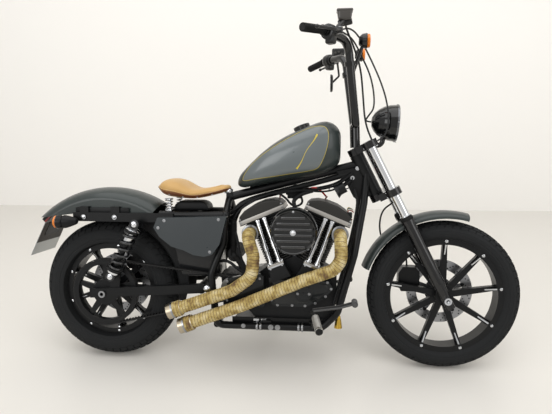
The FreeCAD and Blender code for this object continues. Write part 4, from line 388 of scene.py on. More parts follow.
# Brake discs: rows of thin dark discs, painted shade where drilled holes would be, and five black buttons
# on both faces of each steel disc, and a thin black carrier plate on the left one.
# Painted shade: flat near-black discs laid on the disc's faces in place of drilled holes.
HOLE_SHADE = finish_of("painted_hole_shade", "070707", 0.9)
for end, disc_y in (("front", 54), ("rear", 81.5)):
    centre = Vector(WHEELS[end]["centre"]) + Vector((0, disc_y, 0))
    hole_shade_discs, buttons = [], []
    for ring, phase in ((110, 0.0), (119, 0.075), (128, 0.15), (137, 0.225)):
        out = Vector((math.sin(phase), 0, math.cos(phase)))
        for side in (1, -1):
            hole_shade_discs.append(turned([(0, 0), (0, 3.2), (0.3, 3.2), (0.3, 0)],
                                centre + out * ring + Vector((0, 2.5 * side, 0)), (0, side, 0), 8))
    settle(round_about(joined(hole_shade_discs), 20, centre), end + "_disc_hole_shade", HOLE_SHADE, end + "_wheel")
    for side in (1, -1):
        buttons.append(turned([(0, 0), (0, 8), (1.5, 8), (2.5, 6), (2.5, 3), (1, 2.5), (1, 0)],
                              centre + Vector((0, 2.5 * side, 106)), (0, side, 0), 16))
    settle(round_about(joined(buttons), 5, centre), end + "_disc_buttons", SATIN_BLACK, end + "_wheel")
    plate = turned([(0, 40), (0, 64), (1.6, 64), (1.6, 40)], centre + Vector((0, 2.5, 0)), (0, 1, 0), 48)
    settle(plate, end + "_disc_carrier", SATIN_BLACK, end + "_wheel")

# Exhaust pipes: steel pipes wound with a woven heat band in overlapping turns, tan with olive and
# brown threads, and painted shade along the crease where each turn overlaps the next, from the ports
# to the open ends.

def rounded(points, bend, step=None):
    """Straight runs joined by round bends, in steps of some degrees, or else 16 to a bend."""
    path = [Vector(points[0])]
    for before, corner, after in zip(points, points[1:], points[2:]):
        before, corner, after = Vector(before), Vector(corner), Vector(after)
        inward, outward = (corner - before).normalized(), (after - corner).normalized()
        turn = inward.angle(outward)
        if turn < 0.02:
            continue
        reach = min(bend * math.tan(turn / 2), 0.45 * (corner - before).length,
                    0.45 * (after - corner).length)
        hub = corner + (outward - inward).normalized() * (reach / math.tan(turn / 2) / math.cos(turn / 2))
        first = corner - inward * reach - hub
        axis = inward.cross(outward).normalized()
        count = max(2, int(math.degrees(turn) / step)) if step else 16
        path += [hub + Matrix.Rotation(turn * i / count, 3, axis) @ first for i in range(count + 1)]
    path.append(Vector(points[-1]))
    return path


def carried(path):
    """Each place of a path with two directions square to it that don't twist along the way."""
    frames = []
    side = (path[1] - path[0]).orthogonal().normalized()
    for i, place in enumerate(path):
        way = (path[min(i + 1, len(path) - 1)] - path[max(i - 1, 0)]).normalized()
        side = (side - way * side.dot(way)).normalized()
        frames.append((place, side.copy(), way.cross(side)))
    return frames


def wrap_finish():
    material = finish_of("heat_wrap_tan", "A8956A", 0.82)
    tree = material.node_tree
    links = tree.links
    shader = tree.nodes["Principled BSDF"]
    place = add(material, "ShaderNodeUVMap", -1500, 0)
    parts = add(material, "ShaderNodeSeparateXYZ", -1300, 0)
    links.new(place.outputs["UV"], parts.inputs["Vector"])

    def sum_of(kind, first, second, x, y):
        node = add(material, "ShaderNodeMath", x, y)
        node.operation = kind
        for index, value in enumerate((first, second)):
            if isinstance(value, (int, float)):
                node.inputs[index].default_value = value
            else:
                links.new(value, node.inputs[index])
        return node.outputs["Value"]

    turns = sum_of("ADD", parts.outputs["Y"], parts.outputs["X"], -1100, 100)
    share = sum_of("FRACT", turns, 0.0, -950, 100)
    # edge marks the last part of each turn, where it climbs onto the next: the crease that gets painted
    # shade.
    edge = sum_of("GREATER_THAN", share, 0.86, -800, 220)
    threads = sum_of("SINE", sum_of("MULTIPLY", parts.outputs["X"], 260.0, -950, -60), 0.0, -800, -60)
    weft = sum_of("SINE", sum_of("MULTIPLY", share, 44.0, -950, -200), 0.0, -800, -200)
    weave = sum_of("MULTIPLY", threads, weft, -650, -120)
    cloud = add(material, "ShaderNodeTexNoise", -1100, -420)
    cloud.inputs["Scale"].default_value = 26
    cloud.inputs["Detail"].default_value = 5
    spot = add(material, "ShaderNodeTexCoord", -1300, -420)
    links.new(spot.outputs["Object"], cloud.inputs["Vector"])
    tint = add(material, "ShaderNodeValToRGB", -850, -420)
    ramp = tint.color_ramp
    ramp.elements[0].position, ramp.elements[0].color = 0.3, linear("6E5438")
    ramp.elements[1].position, ramp.elements[1].color = 0.72, linear("E6D8AC")
    for at, shade in ((0.42, "A38C4E"), (0.5, "BFA968"), (0.58, "D0BE86")):
        element = ramp.elements.new(at)
        element.color = linear(shade)
    links.new(cloud.outputs["Fac"], tint.inputs["Fac"])
    streak = add(material, "ShaderNodeTexNoise", -1100, -700)
    streak.inputs["Scale"].default_value = 9
    across = add(material, "ShaderNodeCombineXYZ", -1300, -700)
    links.new(sum_of("MULTIPLY", parts.outputs["X"], 34.0, -1450, -700), across.inputs["X"])
    links.new(sum_of("MULTIPLY", share, 0.5, -1450, -820), across.inputs["Y"])
    links.new(sum_of("FLOOR", turns, 0.0, -1450, -940), across.inputs["Z"])
    links.new(across.outputs["Vector"], streak.inputs["Vector"])
    mix = add(material, "ShaderNodeMix", -500, -300)
    mix.data_type = "RGBA"
    mix.blend_type = "MULTIPLY"
    mix.inputs[0].default_value = 0.55
    links.new(tint.outputs["Color"], mix.inputs[6])
    shade = add(material, "ShaderNodeValToRGB", -850, -700)
    shade.color_ramp.elements[0].position, shade.color_ramp.elements[0].color = 0.38, linear("5E4438")
    shade.color_ramp.elements[1].position, shade.color_ramp.elements[1].color = 0.56, linear("FFFFFF")
    links.new(streak.outputs["Fac"], shade.inputs["Fac"])
    links.new(shade.outputs["Color"], mix.inputs[7])
    # Painted shade: a dark brown mixed over the edge band of each turn, for the crease where it overlaps the
    # next.
    dark = add(material, "ShaderNodeMix", -300, -200)
    dark.data_type = "RGBA"
    dark.inputs[7].default_value = linear("4E3329")
    links.new(mix.outputs[2], dark.inputs[6])
    links.new(sum_of("MULTIPLY", edge, 0.8, -500, 100), dark.inputs[0])
    links.new(dark.outputs[2], shader.inputs["Base Color"])
    bump = add(material, "ShaderNodeBump", -250, -450)
    bump.inputs["Strength"].default_value = 0.5
    bump.inputs["Distance"].default_value = 0.0008
    links.new(weave, bump.inputs["Height"])
    links.new(bump.outputs["Normal"], shader.inputs["Normal"])
    return material


WRAP = wrap_finish()
PIPE_ROUTES = {"front": [(1060, -60.3, 602), (1060, -156, 602), (1064, -168, 512), (1034, -170, 468),
                         (900, -174, 419), (640, -180, 305), (432, -188, 230)],
               "rear": [(664, -60.3, 602), (664, -150, 602), (694, -168, 520), (686, -170, 430),
                        (600, -172, 368), (382, -188, 292)]}
PIPE_RADIUS, WRAP_PITCH, RINGS_PER_TURN = 27.9, 12.5, 5


def even_path(points, bend, step):
    """Places at even steps along straight runs joined by round bends."""
    path = rounded(points, bend)
    marks, spent = [path[0]], 0.0
    for first, last in zip(path, path[1:]):
        length = (last - first).length
        while spent + length >= step:
            share = (step - spent) / length
            first = first + (last - first) * share
            marks.append(first.copy())
            length *= 1 - share
            spent = 0.0
        spent += length
    return marks


for end, points in PIPE_ROUTES.items():
    over = (Vector(points[-1]) - Vector(points[-2])).normalized() * 40
    marks = even_path(points[:-1] + [tuple(Vector(points[-1]) + over)], 67.2, WRAP_PITCH / RINGS_PER_TURN)
    frames = carried(marks)
    begin()
    bpy.ops.mesh.primitive_grid_add(x_subdivisions=36, y_subdivisions=len(marks) - 1, size=2,
                                    calc_uvs=True)
    last = len(marks) - 1

    def wind(v):
        index = round((v.y + 1) / 2 * last)
        place, across, up = frames[index]
        angle = (v.x + 1) * math.pi
        share = (index / RINGS_PER_TURN + (v.x + 1) / 2) % 1.0
        radius = PIPE_RADIUS - 1.6 * min(share / 0.85, (1 - share) / 0.15)
        radius += 6.8 * min(max((17 - last + index) / 3, 0), 1)
        return place + across * radius * math.cos(angle) + up * radius * math.sin(angle)

    pipe = shape(wind)
    for loop in pipe.data.uv_layers[0].data:
        loop.uv.y *= last / RINGS_PER_TURN
    settle(pipe, end + "_pipe_wrap", WRAP, "chassis", "exhaust_pipes", 60)

# Exhaust ends: open bare steel mouths with a rolled edge that start inside the pipes, and a steel
# clamp band round each.
MOUTH = finish_of("mouth_steel", "B3A894", 0.32, 1.0, patch=0.1)
paint(MOUTH, "exhaust_tips")
for end, points in PIPE_ROUTES.items():
    stop = Vector(points[-1])
    way = (stop - Vector(points[-2])).normalized()
    mouth = turned([(-40, 25.2), (61.9, 28.1), (61.9, 30.5), (60, 32.2), (58, 32.2), (57, 30), (0, 29.5)],
                   stop, way, 40)
    settle(mouth, end + "_pipe_mouth", MOUTH, "chassis")
    band = turned([(33, 33.2), (33, 35.8), (41, 35.8), (41, 33.2)], stop, way, 36)
    settle(band, end + "_pipe_clamp", STEEL, "chassis")

# Engine fittings: grey metal strips on the black rocker boxes and black tappet guides with grey plates,
# all held by cap screws, and chrome collars round the pushrod tubes.

def bolt(place, way, head=6, height=5, washer=8):
    """A cap screw: a washer, a round head and a socket."""
    return turned([(0, 0), (0, washer), (1.2, washer), (1.2, head), (height - 1, head), (height, head - 1),
                   (height, head * 0.5), (height - 2.5, head * 0.45), (height - 2.5, 0)], place, way, 12)


def box_of(centre, sizes, edge=0.0, steps=1):
    """A rectangular block about its centre, its edges eased."""
    begin()
    bpy.ops.mesh.primitive_cube_add(size=1, location=centre)
    item = bpy.context.object
    item.scale = sizes
    bpy.ops.object.transform_apply(location=True, rotation=True, scale=True)
    if edge:
        modified(item, "BEVEL", width=edge, segments=steps)
    return item


CRANK = Vector((862, 0, 335))
TILTS = {"rear": math.radians(-22.5), "front": math.radians(22.5)}
STRIP_GREY = finish_of("brushed_strip_grey", "A5A29D", 0.45, 0.6, grain=0.08, grain_mm=0.6)
WARM_BLACK = finish_of("wrinkle_enamel_black", "2B2A28", 0.5, grain=0.2, grain_mm=0.9, patch=0.08,
                       Specular_IOR_Level=0.22)
paint(WARM_BLACK, "rocker_boxes")


def up_barrel(end, along, across=0, left=0):
    """A place along a cylinder's axis from the crankshaft, ahead of it and to its left."""
    tilt = TILTS[end]
    return (CRANK + Vector((math.sin(tilt), 0, math.cos(tilt))) * along
            + Vector((math.cos(tilt), 0, -math.sin(tilt))) * across + Vector((0, left, 0)))


def on_barrel(item, end, along, across=0, left=0):
    """Turns a piece made about the origin to stand on a cylinder's axis."""
    item.rotation_euler = (0, TILTS[end], 0)
    item.location = up_barrel(end, along, across, left)
    return item


for end, ahead in (("rear", 1), ("front", -1)):
    way = up_barrel(end, 1) - CRANK
    strip = on_barrel(box_of((0, 0, 0), (213.4, 161.4, 20), 2.2, 2), end, 378)
    settle(strip, end + "_rocker_strip", STRIP_GREY, "chassis")
    ledge = on_barrel(box_of((0, 0, 0), (211, 162, 3.4), 0.8), end, 390.4)
    settle(ledge, end + "_rocker_ledge", WARM_BLACK, "chassis")
    base = on_barrel(box_of((0, 0, 0), (214, 161, 5), 1.2), end, 368.5)
    screws = [bolt(up_barrel(end, 392, across, side * 77), way, 4.2, 7, 5.5)
              for across in (-98, 98) for side in (-1, 1)]
    screws += [bolt(up_barrel(end, 378, across, side * 80.7), (0, side, 0), 3.6, 3, 4.6)
               for across in (-99, 99) for side in (-1, 1)]
    settle(joined(screws), end + "_rocker_screws", STEEL, "chassis")
    settle(base, end + "_rocker_gasket", CAST_BLACK, "chassis")
    rings = []
    for low, high in ((2, 4), (-38, -28)):
        foot = up_barrel(end, 168, low * ahead, -120)
        head = up_barrel(end, 371, high * ahead, -71)
        line = (head - foot).normalized()
        rings.append(turned([(0, 9), (0, 12.5), (9, 12.5), (11, 11), (11, 9)], foot, line, 20))
        rings.append(turned([(0, 9), (0, 10.6), (26, 10.6), (27, 9)], foot + line * 60, line, 20))
        rings.append(turned([(0, 9), (0, 12), (8, 12), (8, 9)], head - line * 16, line, 20))
    settle(joined(rings), end + "_pushrod_collars", CHROME, "chassis")
    middle = -18 * ahead
    begin()
    bpy.ops.mesh.primitive_cube_add(size=2)

    def guide(v, end=end, middle=middle):
        high = v.z > 0
        return up_barrel(end, 151 if high else 92, middle + v.x * (35.5 if high else 44),
                         (-133.4 if high else -136) if v.y < 0 else -74)

    settle(shape(guide), end + "_tappet_guide", CAST_BLACK, "chassis", smooth=0)
    plate = on_barrel(box_of((0, 0, 0), (73, 30, 8), 1.4, 2), end, 162, middle, -121)
    settle(plate, end + "_tappet_plate", STRIP_GREY, "chassis")
    corners = [bolt(up_barrel(end, 166, middle + across, -121 + out), way, 3.8, 6, 5)
               for across in (-31, 31) for out in (-9.5, 9.5)]
    corners += [bolt(up_barrel(end, 150, middle + across, -134.5), (0, -1, 0), 3, 2.6, 4)
                for across in (-27, 27)]
    settle(joined(corners), end + "_tappet_screws", CHROME, "chassis")

# Ports: round steel flanges where the wrapped pipes leave the heads, each held by two six-sided nuts
# on studs.
flanges = []
for route in PIPE_ROUTES.values():
    x, y, z = route[0]
    flanges.append(turned([(1, 28.4), (1, 38), (8, 38), (9, 36), (9, 28.4)], (x, -60, z), (0, -1, 0), 32))
    for rise in (-33, 33):
        flanges.append(turned([(0, 0), (0, 7.5), (8, 7.5), (8, 4), (16, 4), (16, 0)], (x, -69, z + rise),
                              (0, -1, 0), 6))
settle(joined(flanges), "port_flanges", STEEL, "chassis")

# Barrels: worn metal edges on the rims of the twelve fins, and four cap screws over washers at the
# foot of each.
FIN_EDGE = finish_of("worn_fin_edge", "3A3936", 0.4, 0.3)
FIN_COUNT, DECK, BARREL_HEIGHT = 12, 158, 131.7
for end in TILTS:
    way = up_barrel(end, 1) - CRANK
    edges = [turned([(0.4, 75.9), (0.4, 76.5), (2.6, 76.5), (2.6, 75.9)],
                    up_barrel(end, DECK + fin * BARREL_HEIGHT / FIN_COUNT + 3), way, 48)
             for fin in range(FIN_COUNT)]
    settle(joined(edges), end + "_fin_edges", FIN_EDGE, "chassis")
    nuts = [bolt(up_barrel(end, 152, across, left), way, 7, 9, 10)
            for across in (-64, 64) for left in (-62, 62)]
    settle(joined(nuts), end + "_base_nuts", STEEL, "chassis")

# Lower engine, right side: black enamel on the covers, a raised face on the cam cover, a round timer
# cover, and steel cap screws round their edges.
COVER_BLACK = finish_of("enamel_cover_black", "101314", 0.3, coat=0.35, patch=0.06, Specular_IOR_Level=0.22)
paint(COVER_BLACK, "engine_covers")
CAM_CORNERS = [(-0.42, 0.62), (-0.38, -0.25), (-0.3, -0.34), (0.2, -0.34), (0.5, -0.06), (0.66, 0.28),
               (0.6, 0.5), (0.3, 0.62)]


def raised_face(corners, inset, depth, level):
    """A raised panel of an outline in X and Z, drawn in from its edge and rounded."""
    begin()
    bpy.ops.mesh.primitive_circle_add(vertices=len(corners), radius=1, fill_type="NGON")
    middle = sum((Vector((x, 0, z)) for x, z in corners), Vector()) / len(corners)

    def corner(v):
        index = round(math.atan2(v.y, v.x) / (2 * math.pi) * len(corners)) % len(corners)
        place = Vector((corners[index][0], 0, corners[index][1]))
        inward = (middle - place).normalized() * inset
        return place + inward + Vector((0, level, 0))

    item = shape(corner)
    modified(item, "SOLIDIFY", thickness=depth, offset=0)
    return modified(item, "BEVEL", width=depth * 0.4, segments=3)


cam_outline = [(862 + a * 258, 335 + b * 132) for a, b in CAM_CORNERS]
settle(raised_face(cam_outline, 16, 9, -122.5), "cam_cover_face", COVER_BLACK, "chassis", smooth=40)
timer = turned([(0, 37), (3, 37), (5, 35), (5, 29), (4, 28), (4, 6), (6, 5), (6, 0)], (905, -127, 352),
               (0, -1, 0), 40)
settle(timer, "timer_cover", COVER_BLACK, "chassis")
right_screws = [bolt((x, y, z), (0, -1, 0), 4.6, 5.5, 6) for x, y, z in (
    (781, -122.3, 409), (770, -122.3, 372), (766, -122.3, 318), (792, -122.3, 296), (856, -122.3, 296),
    (912, -122.3, 296), (956, -122.3, 309), (1000, -122.3, 340), (1024, -122.3, 374), (1008, -122.3, 402),
    (960, -122.3, 410), (880, -133.5, 352), (930, -133.5, 352),
    (570, -133.2, 313), (572, -133.2, 398), (715, -133.2, 306), (716, -133.2, 414), (640, -133.2, 300))]
settle(joined(right_screws), "right_cover_screws", STEEL, "chassis")

# Lower engine, left side: the primary cover's raised face and its round clutch and generator covers,
# in the same enamel, with steel cap screws round them.
PRIMARY_CORNERS = [(0, 0.5), (0.05, 0.2), (0.18, 0), (0.8, 0), (0.95, 0.15), (1, 0.45), (0.96, 0.75),
                   (0.84, 0.95), (0.7, 1), (0.15, 0.85), (0.04, 0.7)]
primary_outline = [(590 + a * 400, 252 + b * 190) for a, b in PRIMARY_CORNERS]
settle(raised_face(primary_outline, 18, 10, 144.3), "primary_face", COVER_BLACK, "chassis", smooth=40)
derby = turned([(0, 62), (4, 62), (8, 58), (9, 52), (7, 50), (7, 12), (9, 10), (9, 0)], (682, 148, 338),
               (0, 1, 0), 48)
hatch = turned([(0, 74), (6, 74), (12, 68), (13, 60), (10, 56), (10, 0)], (886, 148, 356), (0, 1, 0), 48)
settle(joined([derby, hatch]), "primary_covers", COVER_BLACK, "chassis")
left_screws = []
for first, last in zip(primary_outline, primary_outline[1:] + primary_outline[:1]):
    x, z = (first[0] + last[0]) / 2, (first[1] + last[1]) / 2
    inward = (Vector((790, 0, 350)) - Vector((x, 0, z))).normalized() * 9
    left_screws.append(bolt((x + inward.x, 144.3, z + inward.z), (0, 1, 0), 4.6, 5.5, 6))
for place, radius, count in (((682, 155, 338), 55, 6), ((886, 158, 356), 64, 5)):
    for index in range(count):
        turn = 2 * math.pi * index / count
        left_screws.append(bolt((place[0] + radius * math.cos(turn), place[1],
                                 place[2] + radius * math.sin(turn)),
                                (0, 1, 0), 3.8, 4, 5))
settle(joined(left_screws), "left_cover_screws", STEEL, "chassis")

# Under the engine: a black tray with a lip between the lower rails, three bolts and two collars on the
# right rail, and two light alloy tabs.
tray = box_of((800, 0, 202), (430, 186, 4), 1)
lip = box_of((800, -92, 214), (430, 3, 28), 1)
settle(joined([tray, lip]), "engine_tray", SATIN_BLACK, "chassis")
rail_bolts = [bolt((x, -121, z), (0, -1, 0), 7, 6, 10) for x, z in ((762, 193), (792, 193), (640, 196))]
rail_bolts += [turned([(0, 0), (0, 12), (8, 12), (8, 0)], (x, -121.5, 193), (0, 1, 0), 20)
               for x in (762, 792)]
settle(joined(rail_bolts), "rail_bolts", STEEL, "chassis")
tabs = joined([box_of((694, -94, 216), (26, 3, 12), 0.8), box_of((727, -94, 218), (24, 3, 9), 0.8)])
settle(tabs, "case_tabs", ALLOY, "chassis")

# Air cleaner: a rolled rim and two beads round the black cover, six polished black louvres across it,
# a domed chrome bolt in the middle and a small one at the top.
CLEANER_X, CLEANER_Z = 864, 629
CLEANER_BLACK = finish_of("gloss_cleaner_black", "060707", 0.14, coat=0.7, patch=0.04, Specular_IOR_Level=0.2)
paint(CLEANER_BLACK, "air_cleaner")
rim = turned([(-1, 84.5), (-0.2, 86.5), (1.8, 88.5), (2.6, 90.5), (1.8, 92.5), (-1.5, 94), (-3, 93.5),
              (-6, 84)], (CLEANER_X, -204, CLEANER_Z), (0, -1, 0), 96)
belt = turned([(0, 98.1), (1, 100.2), (4, 100.8), (7, 100.2), (8, 98.1)], (CLEANER_X, -165, CLEANER_Z),
              (0, -1, 0), 96)
back = turned([(0, 60), (0, 99.5), (4, 100.5), (7, 99.5), (8, 60)], (CLEANER_X, -147, CLEANER_Z),
              (0, 1, 0), 96)
settle(joined([rim, belt, back]), "cleaner_rim", CLEANER_BLACK, "chassis")
dome = turned([(0, 12), (2, 12), (2, 9), (4, 8.6), (6.5, 6.5), (7.8, 3), (8, 0)],
              (CLEANER_X, -211, CLEANER_Z), (0, -1, 0), 24)
top = bolt((CLEANER_X, -204.2, CLEANER_Z + 87), (0, -1, 0), 3.6, 3, 5)
settle(joined([dome, top]), "cleaner_bolts", CHROME, "chassis")
louvres = []
for index in range(6):
    offset = (index - 2.5) * 24
    half = math.sqrt(78.4 ** 2 - offset ** 2)
    louvres.append(box_of((CLEANER_X, -206.5, CLEANER_Z + offset), (2 * half, 10, 12), 3.8, 4))
LOUVRE_BLACK = finish_of("polished_louvre_black", "0C0D0E", 0.1, coat=1.0, patch=0.04, Specular_IOR_Level=0.5)
settle(joined(louvres), "cleaner_louvres", LOUVRE_BLACK, "chassis", smooth=60)

# Fuel tank: the CAD shell in denim satin, with a lighter side panel, a thin gold line round it and one
# slanted brush stroke, all laid on its skin, and a ribbed filler cap.

def rod(start, end, radius, sides=12, tip=None):
    """A round bar between two points, tapered if it has a tip radius."""
    start, end = Vector(start), Vector(end)
    way = end - start
    begin()
    bpy.ops.mesh.primitive_cone_add(vertices=sides, radius1=radius, radius2=radius if tip is None else tip,
                                    depth=way.length, location=(start + end) / 2,
                                    rotation=way.to_track_quat("Z", "Y").to_euler())
    return bpy.context.object


PANEL_GREY = finish_of("panel_satin_grey", "5A6163", 0.3, coat=0.4, grain=0.03, grain_mm=0.5, patch=0.04)
GOLD_LINE = finish_of("pinstripe_gold", "9E8F3C", 0.4, 0.1)
STROKE_GOLD = finish_of("stroke_yellow_gold", "C2AE3C", 0.4, 0.1)
PANEL_POINTS = [(641, 836), (700, 846), (770, 856), (855, 870), (920, 880), (960, 893), (981, 925),
                (997, 971),
                (1004, 1010), (1004, 1040), (992, 1062), (968, 1068), (929, 1062), (880, 1042), (830, 1016),
                (779, 986), (730, 953), (683, 915), (652, 878), (636, 850)]
TO_BIKE = STANCE.inverted()


def on_skin(node, x, z, lift, side=-1):
    """The place on a CAD piece's side at an X and a Z, lifted off the surface a little."""
    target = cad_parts[node]
    to_local = target.matrix_world.inverted()
    start = to_local @ (STANCE @ Vector((x, side * 300, z)))
    stop = to_local @ (STANCE @ Vector((x, 0, z)))
    hit, place, normal, face = target.ray_cast(start, (stop - start).normalized())
    if not hit:
        return Vector((x, side * 20, z))
    spot = TO_BIKE @ (target.matrix_world @ place)
    out = (TO_BIKE.to_3x3() @ (target.matrix_world.to_3x3() @ normal)).normalized()
    return spot + out * lift


def smooth_loop(points, steps):
    """A closed smooth curve through points, in even steps between each two."""
    out = []
    count = len(points)
    for i in range(count):
        a, b, c, d = (Vector(points[(i + k) % count]) for k in (-1, 0, 1, 2))
        for step in range(steps):
            t = step / steps
            out.append(0.5 * (2 * b + (c - a) * t + (2 * a - 5 * b + 4 * c - d) * t ** 2
                              + (3 * b - a - 3 * c + d) * t ** 3))
    return out


def skin_patch(name, material, side, place_at, wide, high, lift):
    """A sheet laid on the tank; place_at gives X and Z for two shares from 0 to 1."""
    begin()
    bpy.ops.mesh.primitive_grid_add(x_subdivisions=wide, y_subdivisions=high, size=2)
    item = shape(lambda v: on_skin("fuel_tank", *place_at((v.x + 1) / 2, (v.y + 1) / 2), lift, side))
    return settle(item, name, material, "chassis", smooth=60)


edge_loop = smooth_loop(PANEL_POINTS, 8)
panel_middle = Vector((860, 960))


def panel_place(around, out):
    return tuple(panel_middle + (edge_loop[round(around * len(edge_loop)) % len(edge_loop)] - panel_middle)
                 * (0.02 + 0.98 * out))


def line_place(around, out):
    index = round(around * len(edge_loop)) % len(edge_loop)
    ahead = edge_loop[(index + 1) % len(edge_loop)] - edge_loop[index - 1]
    across = Vector((ahead.y, -ahead.x)).normalized()
    return tuple(edge_loop[index] + across * (out - 0.5) * 2.4)


def stroke_place(along, out):
    start, stop = Vector((872, 889)), Vector((957, 1034))
    way = (stop - start).normalized()
    across = Vector((way.y, -way.x))
    wide = 2.2 + 5.5 * abs(2 * along - 1) ** 3
    sway = 2.5 * math.sin(along * 9)
    return tuple(start + (stop - start) * along + across * ((out - 0.5) * wide + sway))


for side, tag in ((-1, "right"), (1, "left")):
    skin_patch(tag + "_tank_panel", PANEL_GREY, side, panel_place, len(edge_loop), 14, 0.5)
    skin_patch(tag + "_tank_line", GOLD_LINE, side, line_place, len(edge_loop), 2, 0.9)
    skin_patch(tag + "_tank_stroke", STROKE_GOLD, side, stroke_place, 40, 2, 1.1)

paint(GLOSS_BLACK, "fuel_cap")
CAP_TILT = math.radians(21)
cap_way = Vector((-math.sin(CAP_TILT), 0, math.cos(CAP_TILT)))
cap_top = Vector((897, 0, 1044)) + cap_way * 36
grips_round = []
for index in range(24):
    turn = 2 * math.pi * index / 24
    out = Vector((math.cos(turn) * math.cos(CAP_TILT), math.sin(turn), math.cos(turn) * math.sin(CAP_TILT)))
    grips_round.append(rod(cap_top + out * 34.5 - cap_way * 15, cap_top + out * 34.5 - cap_way * 2, 1.9, 8))
disc = turned([(-1, 33), (0.8, 31), (2, 26), (2.4, 18), (1.4, 15), (1.4, 0)], cap_top, cap_way, 40)
settle(joined(grips_round + [disc]), "cap_grip", GLOSS_BLACK, "chassis")

# Side covers and front mudguard: slate enamel on the side covers with four cap screws each, and a black
# bracket with two cap screws on each side of the front mudguard.
fixings = []
for side in (-1, 1):
    for x, z in ((272, 632), (300, 664), (540, 672), (500, 530)):
        fixings.append(bolt((x, side * 151, z), (0, side, 0), 5, 4, 7))
settle(joined(fixings), "side_cover_screws", STEEL, "chassis")
RAKE = math.radians(27)
COVER_BLUE = finish_of("side_cover_slate", "272D30", 0.3, coat=0.5, patch=0.05, Specular_IOR_Level=0.4)
paint(COVER_BLUE, "side_covers")
for side, tag in ((-1, "right"), (1, "left")):
    boss = Vector(FRONT_AXLE) + Vector((-math.sin(RAKE), 0, math.cos(RAKE))) * 352
    plate = box_of((boss.x, side * 60.3, boss.z), (46, 3.5, 30), 1.5)
    nuts = [bolt((boss.x + dx, side * 62, boss.z), (0, side, 0), 4.5, 4, 6.5) for dx in (-16, 16)]
    settle(plate, tag + "_guard_bracket", SATIN_BLACK, "fork")
    settle(joined(nuts), tag + "_guard_nuts", STEEL, "fork")

# Mudguard struts: two round-headed chrome bolts over washers on each bar, a black strip above it, and
# a black cone from its end to the back of the rear signal.
strut_bolts = []
for side in (-1, 1):
    for x in (63, -81):
        strut_bolts.append(turned([(0, 0), (0, 11), (1.5, 11), (1.5, 8), (5, 7.4), (7.5, 5), (8, 0)],
                                  (x, side * 123.3, 672), (0, side, 0), 20))
settle(joined(strut_bolts), "strut_bolts", CHROME, "chassis")
SATIN_CAP = finish_of("strut_cap_black", "0F1011", 0.4, grain=0.05, grain_mm=0.8, Specular_IOR_Level=0.2)
fillers = []
for side in (-1, 1):
    strip = box_of((0, side * 106, 699), (250, 3.5, 28), 1.5, 2)
    fillers.append(strip)
    fillers.append(turned([(0, 0), (0, 10), (3, 14), (30, 23), (52, 28.6), (58, 29.4), (58, 0)],
                          (-98, side * 148, 656), (-1, 0, -0.06), 28))
settle(joined(fillers), "strut_fillers", SATIN_CAP, "chassis", smooth=40)

# Saddle: a padded seat in tan leather. Its form comes from a table of widths and heights along it, and
# is then filled like a cushion by a short cloth run.
LEATHER = finish_of("tan_leather_grained", "B8935A", 0.42, grain=0.5, grain_mm=2.2, patch=0.1,
                    Specular_IOR_Level=0.35)
EDGE_LEATHER = finish_of("brown_edge_leather", "6B3D1C", 0.5, grain=0.3, grain_mm=1.5)
SADDLE_SHARES = [(0.0, 0.5, 0.5, 0.72), (0.1, 0.86, 0.16, 0.98), (0.26, 1.0, 0.05, 0.92),
                 (0.5, 0.86, 0.0, 0.5), (0.72, 0.52, 0.14, 0.56), (0.92, 0.36, 0.34, 0.76),
                 (1.0, 0.22, 0.48, 0.66)]
SEAT_BACK, SEAT_LENGTH, SEAT_HALF = 240, 332, 132
SEAT_FLOOR, SEAT_HEIGHT, SHARE_REACH = 752, 94, 0.96


def blend_shares(table, at):
    """A row between the rows of a table of shares, eased by a smooth curve."""
    for i in range(len(table) - 1):
        if at <= table[i + 1][0] or i == len(table) - 2:
            a, b, c, d = (table[min(max(i + k, 0), len(table) - 1)] for k in (-1, 0, 1, 2))
            t = (at - b[0]) / (c[0] - b[0])
            out = []
            for k in range(1, len(b)):
                left = (c[k] - a[k]) / max(c[0] - a[0], 1e-6) * (c[0] - b[0])
                right = (d[k] - b[k]) / max(d[0] - b[0], 1e-6) * (c[0] - b[0])
                out.append((2 * t ** 3 - 3 * t ** 2 + 1) * b[k] + (t ** 3 - 2 * t ** 2 + t) * left
                           + (-2 * t ** 3 + 3 * t ** 2) * c[k] + (t ** 3 - t ** 2) * right)
            return out


def saddle_point(along, angle, inset):
    """A place on the seat's skin, or inside it by an inset."""
    half, low, high = blend_shares(SADDLE_SHARES, along * SHARE_REACH)
    blunt = math.sqrt(max(1 - max((along - 0.93) / 0.07, 0) ** 2, 0)) * 0.72 + 0.28
    middle, reach = (low + high) / 2, (high - low) / 2 * blunt
    half, low, high = half * blunt, middle - reach, middle + reach
    half = half * SEAT_HALF - inset
    low, high = SEAT_FLOOR + low * SEAT_HEIGHT + inset, SEAT_FLOOR + high * SEAT_HEIGHT - inset
    belt = (low + high) / 2
    across = math.copysign(abs(math.cos(angle)) ** (2 / 2.6), math.cos(angle))
    lift = math.copysign(abs(math.sin(angle)) ** (2 / 2.6), math.sin(angle))
    return Vector((SEAT_BACK + inset + along * (SEAT_LENGTH - 2 * inset), half * across,
                   belt + (high - belt) * lift))


def seat_form(inset, steps=44, sides=48):
    begin()
    bpy.ops.mesh.primitive_grid_add(x_subdivisions=sides, y_subdivisions=steps, size=2)
    item = shape(lambda v: saddle_point((v.y + 1) / 2, (v.x + 1) * math.pi, inset))
    bpy.ops.object.mode_set(mode="EDIT")
    bpy.ops.mesh.select_all(action="SELECT")
    bpy.ops.mesh.remove_doubles(threshold=0.01)
    bpy.ops.mesh.select_all(action="DESELECT")
    bpy.ops.mesh.select_non_manifold()
    bpy.ops.mesh.edge_face_add()
    bpy.ops.mesh.select_all(action="SELECT")
    bpy.ops.mesh.normals_make_consistent(inside=False)
    bpy.ops.object.mode_set(mode="OBJECT")
    return item


